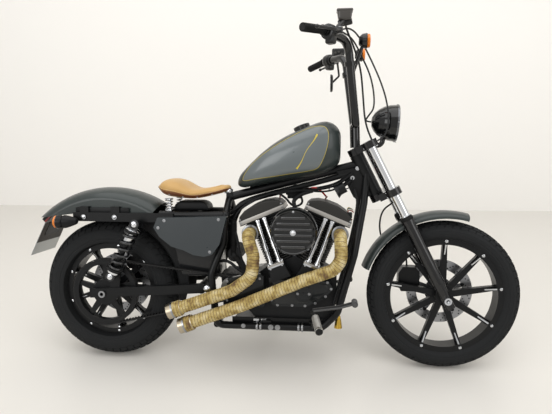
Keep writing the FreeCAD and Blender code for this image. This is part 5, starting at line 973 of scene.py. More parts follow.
def filled(item, pressure, cap, voxel=0.005):
    """Swells a closed form like a stuffed cushion with a short cloth run, and keeps it near its start."""
    bpy.ops.object.select_all(action="DESELECT")
    item.select_set(True)
    bpy.context.view_layer.objects.active = item
    modified(item, "REMESH", mode="VOXEL", voxel_size=voxel)
    start = [vertex.co.copy() for vertex in item.data.vertices]
    cloth = item.modifiers.new("filled", "CLOTH")
    cloth.settings.use_pressure = True
    cloth.settings.uniform_pressure_force = pressure
    cloth.settings.effector_weights.gravity = 0
    cloth.settings.tension_stiffness = 40
    cloth.settings.bending_stiffness = 4
    for step in range(1, 21):
        bpy.context.scene.frame_set(step)
    bpy.ops.object.modifier_apply(modifier=cloth.name)
    bpy.context.scene.frame_set(1)
    for vertex, before in zip(item.data.vertices, start):
        move = vertex.co - before
        if move.length > cap:
            vertex.co = before + move.normalized() * cap
    return item


pad = settle(seat_form(5), "saddle_pad", LEATHER, "chassis", "saddle", smooth=0)
filled(pad, 4, 0.0045)
modified(pad, "SMOOTH", iterations=3)
modified(pad, "SUBSURF", levels=1)
bpy.ops.object.shade_smooth()

# Edge of the saddle: a brown leather band along its lower rim, a rolled welt above it with a row of
# pale stitches, and eleven small steel screws in the band.

def bent(points, radius, sides=10, bend=30, step=6, flat=1.0):
    """A tube of one section along straight runs joined by round bends."""
    path = rounded(points, bend, step)
    frames = carried(path)
    begin()
    bpy.ops.mesh.primitive_grid_add(x_subdivisions=sides, y_subdivisions=len(path) - 1, size=2)
    last = len(path) - 1

    def lay(v):
        place, across, up = frames[round((v.y + 1) / 2 * last)]
        angle = (v.x + 1) * math.pi
        return place + across * radius * math.cos(angle) + up * radius * flat * math.sin(angle)

    item = shape(lay)
    weld(0.01)
    return item

RIM_FRONT, RIM_BACK = 548, 292


def rim_place(share, drop, out=0.0):
    """A place on the pad's rim, found on its skin: right side, round the back, left side, nose."""
    if share < 0.36:
        x, fan = RIM_FRONT - (RIM_FRONT - RIM_BACK) * share / 0.36, -math.pi / 2
    elif share < 0.56:
        x, fan = RIM_BACK, -math.pi / 2 - math.pi * (share - 0.36) / 0.2
    elif share < 0.92:
        x, fan = RIM_BACK + (RIM_FRONT - RIM_BACK) * (share - 0.56) / 0.36, math.pi / 2
    else:
        x, fan = RIM_FRONT, math.pi / 2 - math.pi * (share - 0.92) / 0.08
    half, low, high = blend_shares(SADDLE_SHARES, (x - SEAT_BACK) / SEAT_LENGTH * SHARE_REACH)
    lift = 20 * max(-math.cos(fan), 0) + 3 * max(math.cos(fan), 0)
    heart = Vector((x, 0, SEAT_FLOOR + SEAT_HEIGHT / 2 * (low + high)
                    - drop * SEAT_HEIGHT / 2 * (high - low) + lift))
    way = Vector((math.cos(fan), math.sin(fan), 0))
    start, stop = STANCE @ (heart + way * 300), STANCE @ heart
    hit, place, normal, face = pad.ray_cast(start, (stop - start).normalized())
    return TO_BIKE @ place + way * out if hit else heart + way * 20


begin()
bpy.ops.mesh.primitive_grid_add(x_subdivisions=180, y_subdivisions=6, size=2)
band = shape(lambda v: rim_place((v.x + 1) / 2, 0.3 + 0.5 * (1 - v.y) / 2, 1.1 - 1.4 * abs(v.y) ** 6))
settle(band, "saddle_edge_band", EDGE_LEATHER, "chassis", smooth=60)
settle(bent([rim_place(i / 120, 0.26, 0.4) for i in range(121)], 2.0, 8, 6), "saddle_welt", EDGE_LEATHER,
       "chassis", smooth=60)
THREAD = finish_of("waxed_thread", "D9C39A", 0.7, grain=0.3, grain_mm=0.6)
stitches = []
for i in range(2, 118):
    a, b = rim_place(i / 120, 0.14, 0.1), rim_place((i + 0.55) / 120, 0.14, 0.1)
    stitches.append(rod(a, b, 0.7, 6))
settle(joined(stitches), "saddle_stitches", THREAD, "chassis")
screws = []
for i in range(1, 12):
    spot = rim_place(i / 12, 0.62, 0.8)
    screws.append(turned([(0, 4.2), (1.2, 3.6), (1.8, 1.6), (1.8, 0)], spot,
                         (spot - Vector((spot.x, 0, spot.z))).normalized() if abs(spot.y) > 5 else (-1, 0, 0),
                         12))
settle(joined(screws), "saddle_rim_screws", STEEL, "chassis")


# Saddle springs: two slightly waisted chrome coils between round seats, on the seat rails behind, and
# the chrome bolt of the hinge in front.

def coil(foot, head, turns, wire, radius_at, steps=20, sides=8):
    """A coil spring between two places; radius_at gives its radius for a share of its length."""
    foot, head = Vector(foot), Vector(head)
    turn = (head - foot).normalized().to_track_quat("Z", "Y").to_matrix()
    length = (head - foot).length
    count = int(turns * steps)
    begin()
    bpy.ops.mesh.primitive_grid_add(x_subdivisions=sides, y_subdivisions=count, size=2)

    def lay(v):
        share = (v.y + 1) / 2
        around, out = share * turns * 2 * math.pi, radius_at(share)
        rise = wire + (length - 2 * wire) * min(max((share * turns - 0.6) / (turns - 1.2), 0), 1)
        side = (v.x + 1) * math.pi
        radius = out + wire * math.cos(side)
        return foot + turn @ Vector((radius * math.cos(around), radius * math.sin(around),
                                     rise + wire * math.sin(side)))

    item = shape(lay)
    weld(0.01)
    return item


springs = []
for side in (-1, 1):
    foot, head = (300, side * 78, 700.6), (300, side * 78, 757)
    springs.append(coil(foot, head, 5.2, 3.2, lambda share: 16.6 - 3.2 * math.sin(share * math.pi)))
    springs.append(turned([(0, 0), (0, 19), (2.5, 19), (4, 12), (9, 11), (9, 0)], foot, (0, 0, 1), 24))
    springs.append(turned([(0, 0), (0, 18), (2, 18), (3, 11), (8, 10), (8, 0)], head, (0, 0, -1), 24))
settle(joined(springs), "saddle_coil_springs", CHROME, "chassis", "saddle_springs")
hinge = [turned([(0, 0), (0, 9), (2, 9), (3, 7), (7, 6.4), (8, 4), (8, 0)], (562, side * 22.3, 786),
                (0, side, 0), 20)
         for side in (-1, 1)]
hinge.append(turned([(-22, 5), (-22, 9), (22, 9), (22, 5)], (546, 0, 783), (0, 1, 0), 20))
settle(joined(hinge), "saddle_hinge_bolt", CHROME, "chassis")

# Rear dampers: black enamelled coils, chrome sleeves, caps and domed nuts, a red ring near the foot, and
# black discs over the eyes.
SPRING_BLACK = finish_of("spring_enamel_black", "17181A", 0.28, coat=0.5, patch=0.05, Specular_IOR_Level=0.4)
RED_RING = finish_of("bush_red", "7E1A12", 0.35, coat=0.4)
paint(SATIN_BLACK, "dampers")
for side, name in ((-1, "right"), (1, "left")):
    low, high = Vector((56, side * 155, 414)), Vector((173, side * 155, 648))
    way = (high - low).normalized()
    spring = coil(low + way * 40.5, high - way * 40.5, 6.5, 5.6, lambda share: 27.6, 28, 12)
    settle(spring, name + "_damper_coil", SPRING_BLACK, "chassis", "damper_springs", smooth=60)
    ring = turned([(0, 18), (0, 32.5), (4, 33.2), (8, 32.5), (8, 18)], low + way * 29, way, 32)
    settle(ring, name + "_damper_ring", RED_RING, "chassis")
    sleeve = turned([(0, 12.4), (0, 20), (3, 21), (44, 21), (48, 17), (48, 12.4)], high - way * 90, way, 32)
    cap = turned([(0, 12), (0, 30), (4, 32.6), (11, 32.6), (16, 24), (19, 13)], high - way * 39, way, 32)
    nuts = [turned([(0, 0), (0, 12), (1.5, 12), (2, 9.5), (6, 9), (8.5, 6), (9.5, 2.5), (9.5, 0)],
                   place + Vector((0, side * 19, 0)), (0, side, 0), 24) for place in (low, high)]
    plates = [turned([(0, 0), (0, 20), (3.4, 20), (4.6, 18.6), (4.6, 0)], place + Vector((0, side * 14.6, 0)),
                     (0, side, 0), 32) for place in (low, high, high - way * 16)]
    settle(joined(plates), name + "_damper_plates", SPRING_BLACK, "chassis")
    foot = turned([(0, 12), (0, 26), (5, 29), (12, 29), (12, 12)], low + way * 16, way, 32)
    nuts.append(foot)
    settle(joined([sleeve, cap] + nuts), name + "_damper_brightwork", CHROME, "chassis")

# Handlebar: black enamel on the bar, clamps, risers and legs, and ribbed rubber grips with a flange at
# the inner end, pushed over the ends of the bar.
BAR_TOP = Vector((1128.45, 0, 949.81))
paint(finish_of("bar_enamel_black", "0C0C0D", 0.18, coat=0.4, patch=0.05, Specular_IOR_Level=0.3),
      "handlebar", "fork_clamps", "risers", "fork_legs")
GRIP_RUBBER = finish_of("grip_rubber", "121212", 0.66, grain=0.3, grain_mm=0.8, Specular_IOR_Level=0.2)
grips = []
for side in (-1, 1):
    start = BAR_TOP + Vector((-143.45, side * 300, 459.19))
    end = BAR_TOP + Vector((-221.45, side * 408, 444.19))
    way = (end - start).normalized()
    long = (end - start).length
    rows = [(0, 13), (0, 18.8), (3, 18.8), (3.6, 15.4)]
    place = 6
    while place < long - 22:
        rows += [(place, 15.1), (place + 0.7, 16), (place + 3.3, 16), (place + 4, 15.1)]
        place += 5.2
    rows += [(long - 15, 16), (long - 13.4, 15.4), (long - 12.4, 13)]
    grips.append(turned(rows, start + way * 12, way, 28))
settle(joined(grips), "ribbed_grips", GRIP_RUBBER, "fork", "grips", smooth=40)

# Hand controls: round clamp housings, perches with flat levers, a rounded reservoir over its cylinder
# on the right and a switch block on the left, with the mirror on a bent stem.
CONTROL_BLACK = finish_of("control_enamel_black", "121212", 0.3, coat=0.3, grain=0.06, grain_mm=0.8,
                          patch=0.06, Specular_IOR_Level=0.3)
metal, black = [], []
for side in (-1, 1):
    top = BAR_TOP + Vector((-50.45, side * 152, 450.19))
    bend = BAR_TOP + Vector((-143.45, side * 300, 459.19))
    way = (bend - top).normalized()
    first = top + (bend - top) * 0.68
    middle = first + way * 21
    ahead = Vector((way.y, -way.x, 0)).normalized()
    if ahead.x < 0:
        ahead = -ahead
    perch = middle + ahead * 46
    black.append(turned([(0, 17.5), (0, 24), (3, 28.6), (18, 30.4), (19.4, 28.6), (22.6, 28.6), (24, 30.4),
                         (38, 28.8), (41, 24), (42, 17.5)], first, way, 32))
    under = box_of((0, 0, 0), (34, 36, 40), 8, 3)
    under.rotation_euler = way.to_track_quat("X", "Z").to_euler()
    under.location = middle - Vector((0, 0, 24)) + ahead * 6
    black.append(under)
    black.append(turned([(-12, 17.4), (-12, 21), (-9, 22), (-2, 22), (-1, 17.4)], first, way, 28))
    black.append(box_of(tuple(middle + ahead * 30), (34, 24, 22), 6, 3))
    black.append(rod(middle + ahead * 20, perch + ahead * 4, 10.5, 16, 8.5))
    black.append(turned([(-11, 0), (-11, 9), (-9, 10.6), (9, 10.6), (11, 9), (11, 0)], perch, (0, 0, 1), 20))
    lever_bend = BAR_TOP + Vector((-104.45, side * 340, 452.19))
    lever_end = BAR_TOP + Vector((-168.45, side * 421, 442.19))
    black.append(bent([perch - way * 4, lever_bend, lever_end], 6, 14, 50, 5, 0.8))
    black.append(turned([(-7.6, 0), (-7, 3.6), (-4.6, 6.4), (0, 7.8), (4.6, 6.4), (7, 3.6), (7.6, 0)],
                        lever_end, lever_end - lever_bend, 18))
    metal.append(turned([(0, 0), (0, 7.6), (2.5, 7.6), (4, 6), (4, 3), (2.4, 2.6), (2.4, 0)],
                        perch + Vector((0, 0, 10.6)), (0, 0, 1), 16))
    for along in (-8, 8):
        metal.append(bolt(middle + Vector((0, 0, 24.6)) + way * along, (0, 0, 1), 3.4, 4, 4.4))
    end = BAR_TOP + Vector((-221.45, side * 408, 444.19))
    metal.append(turned([(-3, 0), (-3, 11), (-0.6, 11), (0, 9.5), (0, 0)], end, (end - bend), 20))
    for along in (-1, 1):
        metal.append(bolt(BAR_TOP + Vector((-10.45 + along * 11, side * 82, 128.6)), (0, 0, 1), 4, 4, 5.4))
    box_place = Vector((1060, -252, 1474)) if side < 0 else Vector((1049, 285, 1446))
    black.append(rod(middle + ahead * 22, box_place - Vector((0, 0, 16)), 11, 16, 9))
settle(joined(metal), "bar_fixings", STEEL, "fork")
black.append(turned([(0, 0), (0, 11), (2, 13), (50, 13), (54, 10), (54, 0)], (1036, -238, 1446),
                    (0.62, -0.1, 0.1), 24))
stem = bent([BAR_TOP + Vector((-84, 262, 455)) + Vector((0, 0, -4)), (1056, 340, 1345), (1019, 352, 1312)], 5,
            12, 14)
black.append(stem)
black.append(turned([(0, 0), (0, 34), (2, 41), (6, 43.8), (12, 44), (14, 43), (14, 41.6), (13, 40), (13, 0)],
                    (1026, 352, 1312), (-1, 0, 0), 44))
settle(joined(black), "hand_control_castings", CONTROL_BLACK, "fork", "hand_controls", smooth=40)
BOX_BROWN = finish_of("reservoir_enamel", "35322E", 0.34, coat=0.4, patch=0.06)


def tub(v):
    share = 0.5 - v.z / 40
    return Vector((1060 + v.x * (1 - 0.2 * share), -252 + v.y * (1 - 0.16 * share), 1473 + v.z))


box_of((0, 0, 0), (60, 43, 40), 9, 4)
settle(shape(tub), "reservoir_pot", BOX_BROWN, "fork", smooth=45)
lid = box_of((1060, -252, 1489.2), (62, 44.4, 11), 5, 4)
settle(lid, "reservoir_lid", BOX_BROWN, "fork", smooth=45)
lid_screws = [bolt((1060 + dx, -252 + dy, 1494.2), (0, 0, 1), 3, 1.4, 3.6)
              for dx, dy in ((-22, -13), (22, 13))]
settle(joined(lid_screws), "reservoir_screws", STEEL, "fork")
switch = box_of((1049, 285, 1446), (62, 44, 41), 8, 4)
settle(switch, "switch_block", CONTROL_BLACK, "fork", smooth=45)
buttons = [turned([(0, 0), (0, 5), (2, 5), (3, 4), (3, 0)], (1035 + dx, 263.2, 1444 + dz), (0, -1, 0), 14)
           for dx, dz in ((0, 0), (16, 4), (30, -6))]
settle(joined(buttons), "switch_buttons", BOX_BROWN, "fork")
MIRROR = finish_of("mirror_glass", "D6DADC", 0.03, 1.0, patch=0.01)
glass = turned([(0, 0), (0.4, 20), (0.2, 40.5), (-0.6, 41.5)], (1011.8, 352, 1312), (-1, 0, 0), 40)
settle(glass, "mirror_glass", MIRROR, "fork")

# Headlamp: the bowl keeps its shape; a gunmetal rim holds a fluted glass in front of a bright bowl,
# and three screws hold the rim. A chrome block stands under it at the front of the upper clamp.
GUNMETAL = finish_of("gunmetal_rim", "6E7073", 0.22, 0.9, patch=0.05)
GLASS = finish_of("lamp_glass", "E9EEF2", 0.05, coat=1.0, Transmission_Weight=0.85)
LAMP_TILT = math.radians(4)
lamp_way = Vector((math.cos(LAMP_TILT), 0, -math.sin(LAMP_TILT)))
lamp_face = BAR_TOP + Vector((163.55, 0, 135.19))
ring = turned([(0.4, 70), (0.4, 82), (4.5, 82), (8, 81), (10, 78), (10, 74.5), (7, 73), (4, 73)],
              lamp_face, lamp_way, 48)
settle(ring, "headlamp_bezel", GUNMETAL, "fork", "headlamp_rim")
bowl = turned([(0.6, 0), (0.6, 10), (1.2, 11), (1.6, 40), (3.4, 73)], lamp_face, lamp_way, 48)
settle(bowl, "headlamp_reflector", CHROME, "fork", smooth=60)
flutes = GLASS.node_tree
wave = add(GLASS, "ShaderNodeTexWave", -700, -500)
wave.bands_direction = "Y"
wave.inputs["Scale"].default_value = 30
place = add(GLASS, "ShaderNodeTexCoord", -900, -500)
ridge = add(GLASS, "ShaderNodeBump", -400, -500)
ridge.inputs["Strength"].default_value = 0.4
ridge.inputs["Distance"].default_value = 0.002
flutes.links.new(place.outputs["Object"], wave.inputs["Vector"])
flutes.links.new(wave.outputs["Fac"], ridge.inputs["Height"])
flutes.links.new(ridge.outputs["Normal"], flutes.nodes["Principled BSDF"].inputs["Normal"])
front = turned([(5, 73), (6.4, 60), (8.4, 35), (9.4, 15), (9.6, 0)], lamp_face, lamp_way, 48)
settle(front, "headlamp_glass", GLASS, "fork", smooth=60)
lamp_fixings = [bolt(lamp_face + lamp_way * 4 + Vector((0, 82 * math.cos(a), 82 * math.sin(a))) * 0.985,
                     (0, math.cos(a), math.sin(a)), 2.6, 2.4, 3.4) for a in (0.0, math.pi, -math.pi / 2)]
settle(joined(lamp_fixings), "headlamp_screws", STEEL, "fork")
block = box_of((1206, 0, 994), (26, 46, 15), 2.5, 2)
settle(block, "lamp_bracket_block", CHROME, "fork")

# Turn signals: ribbed amber lenses, front and rear, turned about their axis, each held in its body by
# a thin gloss black ring.
AMBER = finish_of("amber_ribbed_lens", "F58A08", 0.12, coat=0.8, Transmission_Weight=0.25)
for name, x, z, y, way, body, node in (
        ("front", 1167.4, 1405, 133.73, 1, "fork", "front_signal_lenses"),
        ("rear", -200, 652, 150, -1, "chassis", "rear_signal_lenses")):
    lenses, rings = [], []
    for side in (-1, 1):
        rows = [(-16, 27), (-15, 27.6)]
        for step in range(5):
            rows += [(-13.4 + step * 2.2, 27.6), (-12.6 + step * 2.2, 26.8)]
        rows += [(-1.8, 26.6), (-0.5, 25), (0, 22), (-0.6, 15), (-0.2, 8), (-0.6, 0)]
        lenses.append(turned(rows, (x, side * y, z), (way, 0, 0), 30))
        rings.append(turned([(-18, 29.6), (-15, 30.4), (-13, 30.2), (-12.6, 27)], (x, side * y, z),
                            (way, 0, 0), 30))
    settle(joined(lenses), name + "_amber_lenses", AMBER, body, node, smooth=25)
    settle(joined(rings), name + "_signal_rings", GLOSS_BLACK, body)

# Fork: a rubber cap and a chrome ring over each dust seal, chrome cap bolts, pinch bolts in both clamps
# and one low on each leg, a nut on the stem, and three bolts on each side of the neck.
RUBBER = finish_of("rubber_black", "141414", 0.72, grain=0.12, grain_mm=0.7, Specular_IOR_Level=0.2)
TRAIL, FORK_OFFSET = 97.4, 64
AXIS = Vector((-math.sin(RAKE), 0, math.cos(RAKE)))
AHEAD = Vector((math.cos(RAKE), 0, math.sin(RAKE)))


def steered(along, forward, left):
    return Vector((FRONT_AXLE[0] + TRAIL, left, 0)) + AXIS * along + AHEAD * forward


bright, dark = [], []
for side in (-1, 1):
    y = side * 90
    bright.append(turned([(0, 0), (0, 16.5), (3, 16.5), (6, 14), (6, 8), (3.5, 7), (3.5, 0)],
                         steered(1081.4, FORK_OFFSET, y), AXIS, 24))
    dark.append(turned([(0, 19.8), (0, 27.4), (5, 28.2), (12, 27.6), (17, 24), (19, 20)],
                       steered(722, FORK_OFFSET, y), AXIS, 30))
    bright.append(turned([(0, 19.7), (0, 23), (3, 22.4), (4, 19.7)], steered(742, FORK_OFFSET, y), AXIS, 30))
    bright.append(bolt(steered(336, FORK_OFFSET, y + side * 25.4), (0, side, 0), 4.2, 5, 5.6))
    for along in (846, 866, 1060, 1074):
        bright.append(bolt(steered(along, FORK_OFFSET - 30, y + side * 4), -AHEAD, 3.8, 4, 5))
settle(joined(bright), "fork_brightwork", CHROME, "fork")
settle(joined(dark), "fork_dust_caps", RUBBER, "fork")
stem_nut = turned([(0, 0), (0, 19), (3, 19), (5, 15), (12, 14), (15, 10), (15, 0)], steered(1081.3, 0, 0),
                  AXIS, 6)
settle(stem_nut, "stem_nut", CHROME, "fork", smooth=0)
studs = []
for side in (-1, 1):
    for x, z in ((1133, 890), (1112, 848), (1150, 905)):
        studs.append(bolt((x, side * 23.2, z), (0, side, 0), 6, 5, 9))
settle(joined(studs), "neck_bolts", CHROME, "chassis")

# Control cables: three smooth black lines from the bar to the lamp, the clamps and the front
# caliper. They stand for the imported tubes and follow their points.
CABLE_BLACK = finish_of("cable_sheath_black", "121314", 0.42, grain=0.1, grain_mm=0.5, Specular_IOR_Level=0.4)


def line_of(points, radius, name, material, body, node=None):
    """A held line: one smooth curve through its route's points, given a round section."""
    begin()
    curve = bpy.data.curves.new(name, "CURVE")
    curve.dimensions = "3D"
    spline = curve.splines.new("NURBS")
    spline.points.add(len(points) - 1)
    for spot, place in zip(spline.points, points):
        spot.co = (*(STANCE @ Vector(place)), 1)
    spline.order_u = 3
    spline.use_endpoint_u = True
    curve.resolution_u = 12
    curve.bevel_depth = radius / 1000
    curve.bevel_resolution = 3
    curve.use_fill_caps = True
    item = bpy.data.objects.new(name, curve)
    bpy.context.collection.objects.link(item)
    curve.materials.append(material)
    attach(item, body)
    if node:
        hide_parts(node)
    return item


line_of([(1015.6, -251.4, 1427.3), (1044, -206, 1430), (1082, -146, 1456), (1122, -88, 1440),
         (1172, -84, 1350),
         (1226, -94, 1230), (1252, -97, 1130), (1250, -96, 1060), (1236, -90, 1021), (1208.8, -89, 1007.4)],
        3.5, "throttle_cable", CABLE_BLACK, "fork", "cables")
line_of([(1029.6, -257, 1420.6), (1054, -218, 1421), (1098, -100, 1424), (1136, -52, 1370), (1184, -54, 1270),
         (1200, -62, 1150), (1172, -50, 1112), (1160, -16, 1093), (1187.4, -10, 1091.4)],
        3.5, "switch_wire", CABLE_BLACK, "fork")
line_of([(1062, -246, 1450.3), (1066, -232, 1430), (1100, -130, 1390), (1136, -70, 1310), (1150, -36, 1200),
         (1160, -34, 1085), (1196, -34, 1000), (1250, -34, 892), (1306, -34, 780), (1300, 20, 740),
         (1252, 60, 700), (1240, 66, 620), (1262, 74, 540), (1334, 73, 506), (1370, 71, 488),
         (1371, 71, 444.5)],
        4, "front_brake_hose", CABLE_BLACK, "fork")

# Under the tank: a finned coil with two red leads and black boots, the battery's cover, taped looms tied
# along the backbone and down the front tube, a trumpet horn and a plug of coloured wires.
PLASTIC = finish_of("black_plastic", "131415", 0.5, grain=0.1, grain_mm=0.6, Specular_IOR_Level=0.2)
LEAD_RED = finish_of("lead_silicone_red", "B3170F", 0.32, coat=0.3, patch=0.05)
COIL = Vector((858, 0, 776))
lead_front = [COIL + Vector(p)
              for p in ((34, -10, 0), (42, -12, 4), (66, -28, 24), (90, -38, 31), (118, -36, 16),
                                         (144, -10, -16), (144, 66, -16), (130, 97, -44))]
lead_rear = [COIL + Vector(p) for p in ((-34, 0, 4), (-44, 2, 8), (-60, 14, 12), (-72, 60, 2),
                                        (-76, 97, -28))]
line_of(lead_front + [(955.3, 97, 679.2), (955.3, 71.3, 649.2)], 4, "front_ignition_lead", LEAD_RED,
        "chassis", "ignition_leads")
line_of(lead_rear + [(768.7, 97, 679.2), (768.7, 71.3, 649.2)], 4, "rear_ignition_lead", LEAD_RED, "chassis")
boots = []
for end, ahead in (("front", 1), ("rear", -1)):
    plug = up_barrel(end, 326, -34 * ahead, 60.6)
    boots.append(turned([(0, 8), (0, 11), (10, 11), (13, 9), (26, 8), (30, 6), (30, 0)], plug, (0, 1, 0), 20))
settle(joined(boots), "plug_boots", RUBBER, "chassis")
coil_case = box_of((858, 0, 776), (63, 45, 43), 3, 2)
fins = [box_of((858, 0, z), (66, 48, 2.4), 0.6) for z in (758, 764, 770, 776, 782, 788, 794)]
hanger = box_of((858, 0, 812), (16, 20, 34), 2)
settle(joined([coil_case, hanger] + fins), "coil_body", PLASTIC, "chassis", "electrical_boxes")
lid_corners = [(306, 698), (474, 698), (468, 722), (452, 737), (430, 740.5), (340, 740.5), (318, 728)]
cover = raised_face(lid_corners, 0, 108, 0)
settle(cover, "battery_cover", PLASTIC, "chassis", smooth=45)
caps = [turned([(0, 0), (0, 9), (7, 8), (9, 5), (9, 0)],
               COIL + Vector((side * 32, -10 if side > 0 else 0, 2)),
               (side, 0, 0), 18) for side in (-1, 1)]
settle(joined(caps), "coil_towers", RUBBER, "chassis")
LOOM = finish_of("loom_tape_black", "101112", 0.5, grain=0.35, grain_mm=1.4, Specular_IOR_Level=0.22)
looms = (
    ("backbone_loom", 13, [(1112, -10, 872), (1060, -12, 856), (1000, -14, 839), (900, -14, 813),
                           (800, -14, 787),
                           (700, -14, 761), (640, -14, 740), (600, -20, 716), (580, -28, 680)]),
    ("right_loom", 7, [(1112, -29, 868), (1084, -33, 846), (1040, -35, 815), (960, -36, 797), (880, -38, 792),
                       (800, -38, 789), (720, -36, 768), (650, -33, 740), (606, -34, 716), (574, -38, 690)]),
    ("left_loom", 8, [(1112, 29, 868), (1084, 33, 846), (1040, 36, 815), (960, 36, 795), (880, 36, 791),
                      (800, 36, 787), (720, 34, 764), (650, 32, 738), (600, 34, 708), (576, 40, 640)]),
    ("thin_loom", 4, [(1098, -30, 842), (1050, -44, 800), (980, -48, 786), (900, -52, 795), (820, -50, 783),
                      (760, -46, 786), (690, -44, 752), (630, -40, 724), (584, -46, 660), (570, -50, 610)]),
    ("rocker_loom", 5, [(884, -26, 770), (900, -40, 744), (876, -44, 722), (846, -42, 726), (820, -44, 760),
                        (780, -48, 786), (720, -52, 766), (660, -56, 736), (606, -60, 700), (578, -64, 640)]),
    ("carburettor_hose", 9, [(868, -60, 700), (852, -58, 742), (868, -50, 762), (900, -46, 782),
                             (940, -44, 792)]),
    ("front_loom", 6, [(1120, -40, 800), (1134, -52, 760), (1132, -56, 720), (1118, -62, 640),
                       (1100, -70, 560),
                       (1078, -84, 460), (1052, -98, 360), (1034, -102, 300)]),
    ("horn_wire", 2.5, [(1066, -52, 800), (1086, -56, 800), (1104, -50, 812), (1110, -40, 834),
                        (1112, -30, 850)]),
)
for name, radius, points in looms:
    line_of(points, radius, name, LOOM, "chassis")
ties = []
for x, z in ((1010, 806), (930, 796), (840, 791), (700, 760), (640, 735)):
    ties.append(turned([(-3, 7.4), (-3, 9), (3, 9), (3, 7.4)], (x, -36.5, z), (1, 0, 0.15), 16))
settle(joined(ties), "loom_ties", PLASTIC, "chassis")
HORN_TURN = math.radians(30)
horn_way = Vector((-math.cos(HORN_TURN), 0, -math.sin(HORN_TURN)))
horn_face = Vector((1040, -56, 790))
trumpet = turned([(-2, 32), (0, 33), (1.5, 32.4), (1.5, 29), (-1, 24), (-5, 16), (-6, 6), (-6, 0)],
                 horn_face, horn_way, 32)
settle(trumpet, "horn_bell", GLOSS_BLACK, "chassis")
WIRE_SHADES = ("7A1F1A", "C9C4B4", "2C4E63", "8A7A2E")
for i, shade in enumerate(WIRE_SHADES):
    sheath = finish_of("wire_" + shade.lower(), shade, 0.4, grain=0.05, grain_mm=0.4)
    line_of([(1118 - i * 2, -58 + i * 3, 700 + i * 4), (1098 - i * 4, -60, 716 + i * 5),
             (1090 + i * 3, -62 + i * 2, 694 - i * 6), (1100, -63, 676 - i * 5), (1112, -64 + i, 668)],
            2.2, "plug_wire_%d" % i, sheath, "chassis")
plug = box_of((1100, -62, 688), (22, 16, 26), 2, 2)
settle(plug, "wire_plug", PLASTIC, "chassis")

# Behind the engine: a flat-sided oil tank with a raised lip on each side, three braided hoses, and the
# ribbed breather that stands behind the rear cylinder.
OIL_BLACK = finish_of("oil_tank_enamel", "121315", 0.32, coat=0.4, patch=0.06, Specular_IOR_Level=0.22)
OIL_CORNERS = [(352, 402), (522, 402), (526, 500), (527, 662), (516, 669), (300, 669), (292, 660), (312, 560),
               (330, 470)]
tank = raised_face(OIL_CORNERS, 0, 148, 0)
settle(tank, "oil_tank", OIL_BLACK, "chassis")
lips = [raised_face(OIL_CORNERS, 6, 5, side * 74.4) for side in (-1, 1)]
settle(joined(lips), "oil_tank_lips", OIL_BLACK, "chassis")
HOSE_BLACK = finish_of("braided_hose_black", "1A1B1D", 0.6, grain=0.6, grain_mm=1.8, Specular_IOR_Level=0.22)
for name, radius, points in (
        ("oil_feed_hose", 8, [(500, -60, 420), (530, -64, 404), (566, -70, 398), (604, -74, 386),
                              (640, -70, 360)]),
        ("oil_return_hose", 7, [(520, -66, 470), (548, -74, 480), (580, -82, 470), (612, -84, 440),
                                (650, -78, 420)]),
        ("vent_hose", 6, [(524, -50, 640), (560, -58, 652), (596, -70, 620), (612, -80, 560), (622, -84, 500),
                          (640, -80, 450)])):
    line_of(points, radius, name, HOSE_BLACK, "chassis")
ribs = [(step * 3.2, 15.5 if step % 2 else 13) for step in range(52)]
breather = turned([(0, 12)] + ribs + [(ribs[-1][0], 12)], (588, -62, 500), (0.02, -0.05, 1), 24)
settle(breather, "ribbed_breather", RUBBER, "chassis", smooth=50)

# Foot controls: ribbed light alloy pegs with an end washer, broad ridged pedals on their arms, the
# finish of the brass bell, and steel clips round the lower rails.
PEG_GREY = finish_of("peg_alloy", "B9B7B2", 0.3, 0.9, grain=0.1, grain_mm=0.6, patch=0.06)
PEDAL_GREY = finish_of("pedal_dark_grey", "4A4A4A", 0.42, 0.4, grain=0.15, grain_mm=0.8, patch=0.06)
pegs, pads = [], []
for side in (-1, 1):
    start, end = Vector((958, side * 205, 276)), Vector((977, side * 330, 258))
    way = (end - start).normalized()
    long = (end - start).length
    rows = [(4, 12), (4, 15.3), (8, 15.3)]
    place = 10
    while place < long - 14:
        rows += [(place, 15.2), (place + 1, 15.9), (place + 4, 15.9), (place + 5, 15.2)]
        place += 8
    rows += [(long - 6, 16.2), (long - 1, 16.2), (long, 14.5), (long, 0)]
    pegs.append(turned(rows, start, way, 28))
    middle = Vector((1120, side * 205, 340))
    ridges = [(-26.4, 0), (-26.4, 9), (-25, 11.4)]
    for step in range(10):
        ridges += [(-23 + step * 5, 11.3), (-22.2 + step * 5, 12.4), (-19.8 + step * 5, 12.4),
                   (-19 + step * 5, 11.3)]
    ridges += [(26, 11.4), (26.4, 9), (26.4, 0)]
    pads.append(turned(ridges, middle, (0, 1, 0), 24))
    arm = bent([(948, side * 205, 304), (1060, side * 205, 322), (1116, side * 205, 339)], 9.5, 12, 30, 6,
               0.62)
    pads.append(arm)
settle(joined(pegs), "foot_pegs", PEG_GREY, "chassis", smooth=30)
settle(joined(pads), "foot_pedals", PEDAL_GREY, "chassis", smooth=40)
BRASS = finish_of("bell_brass", "C9A648", 0.26, 1.0, patch=0.1)
paint(BRASS, "bell")
clips = []
for side in (-1, 1):
    for x in (700, 716, 884, 900):
        clips.append(turned([(-4, 16.2), (-4, 18.4), (-3, 19), (3, 19), (4, 18.4), (4, 16.2)],
                            (x, side * 105, 192), (1, 0, 0), 28))
settle(joined(clips), "rail_clips", STEEL, "chassis")

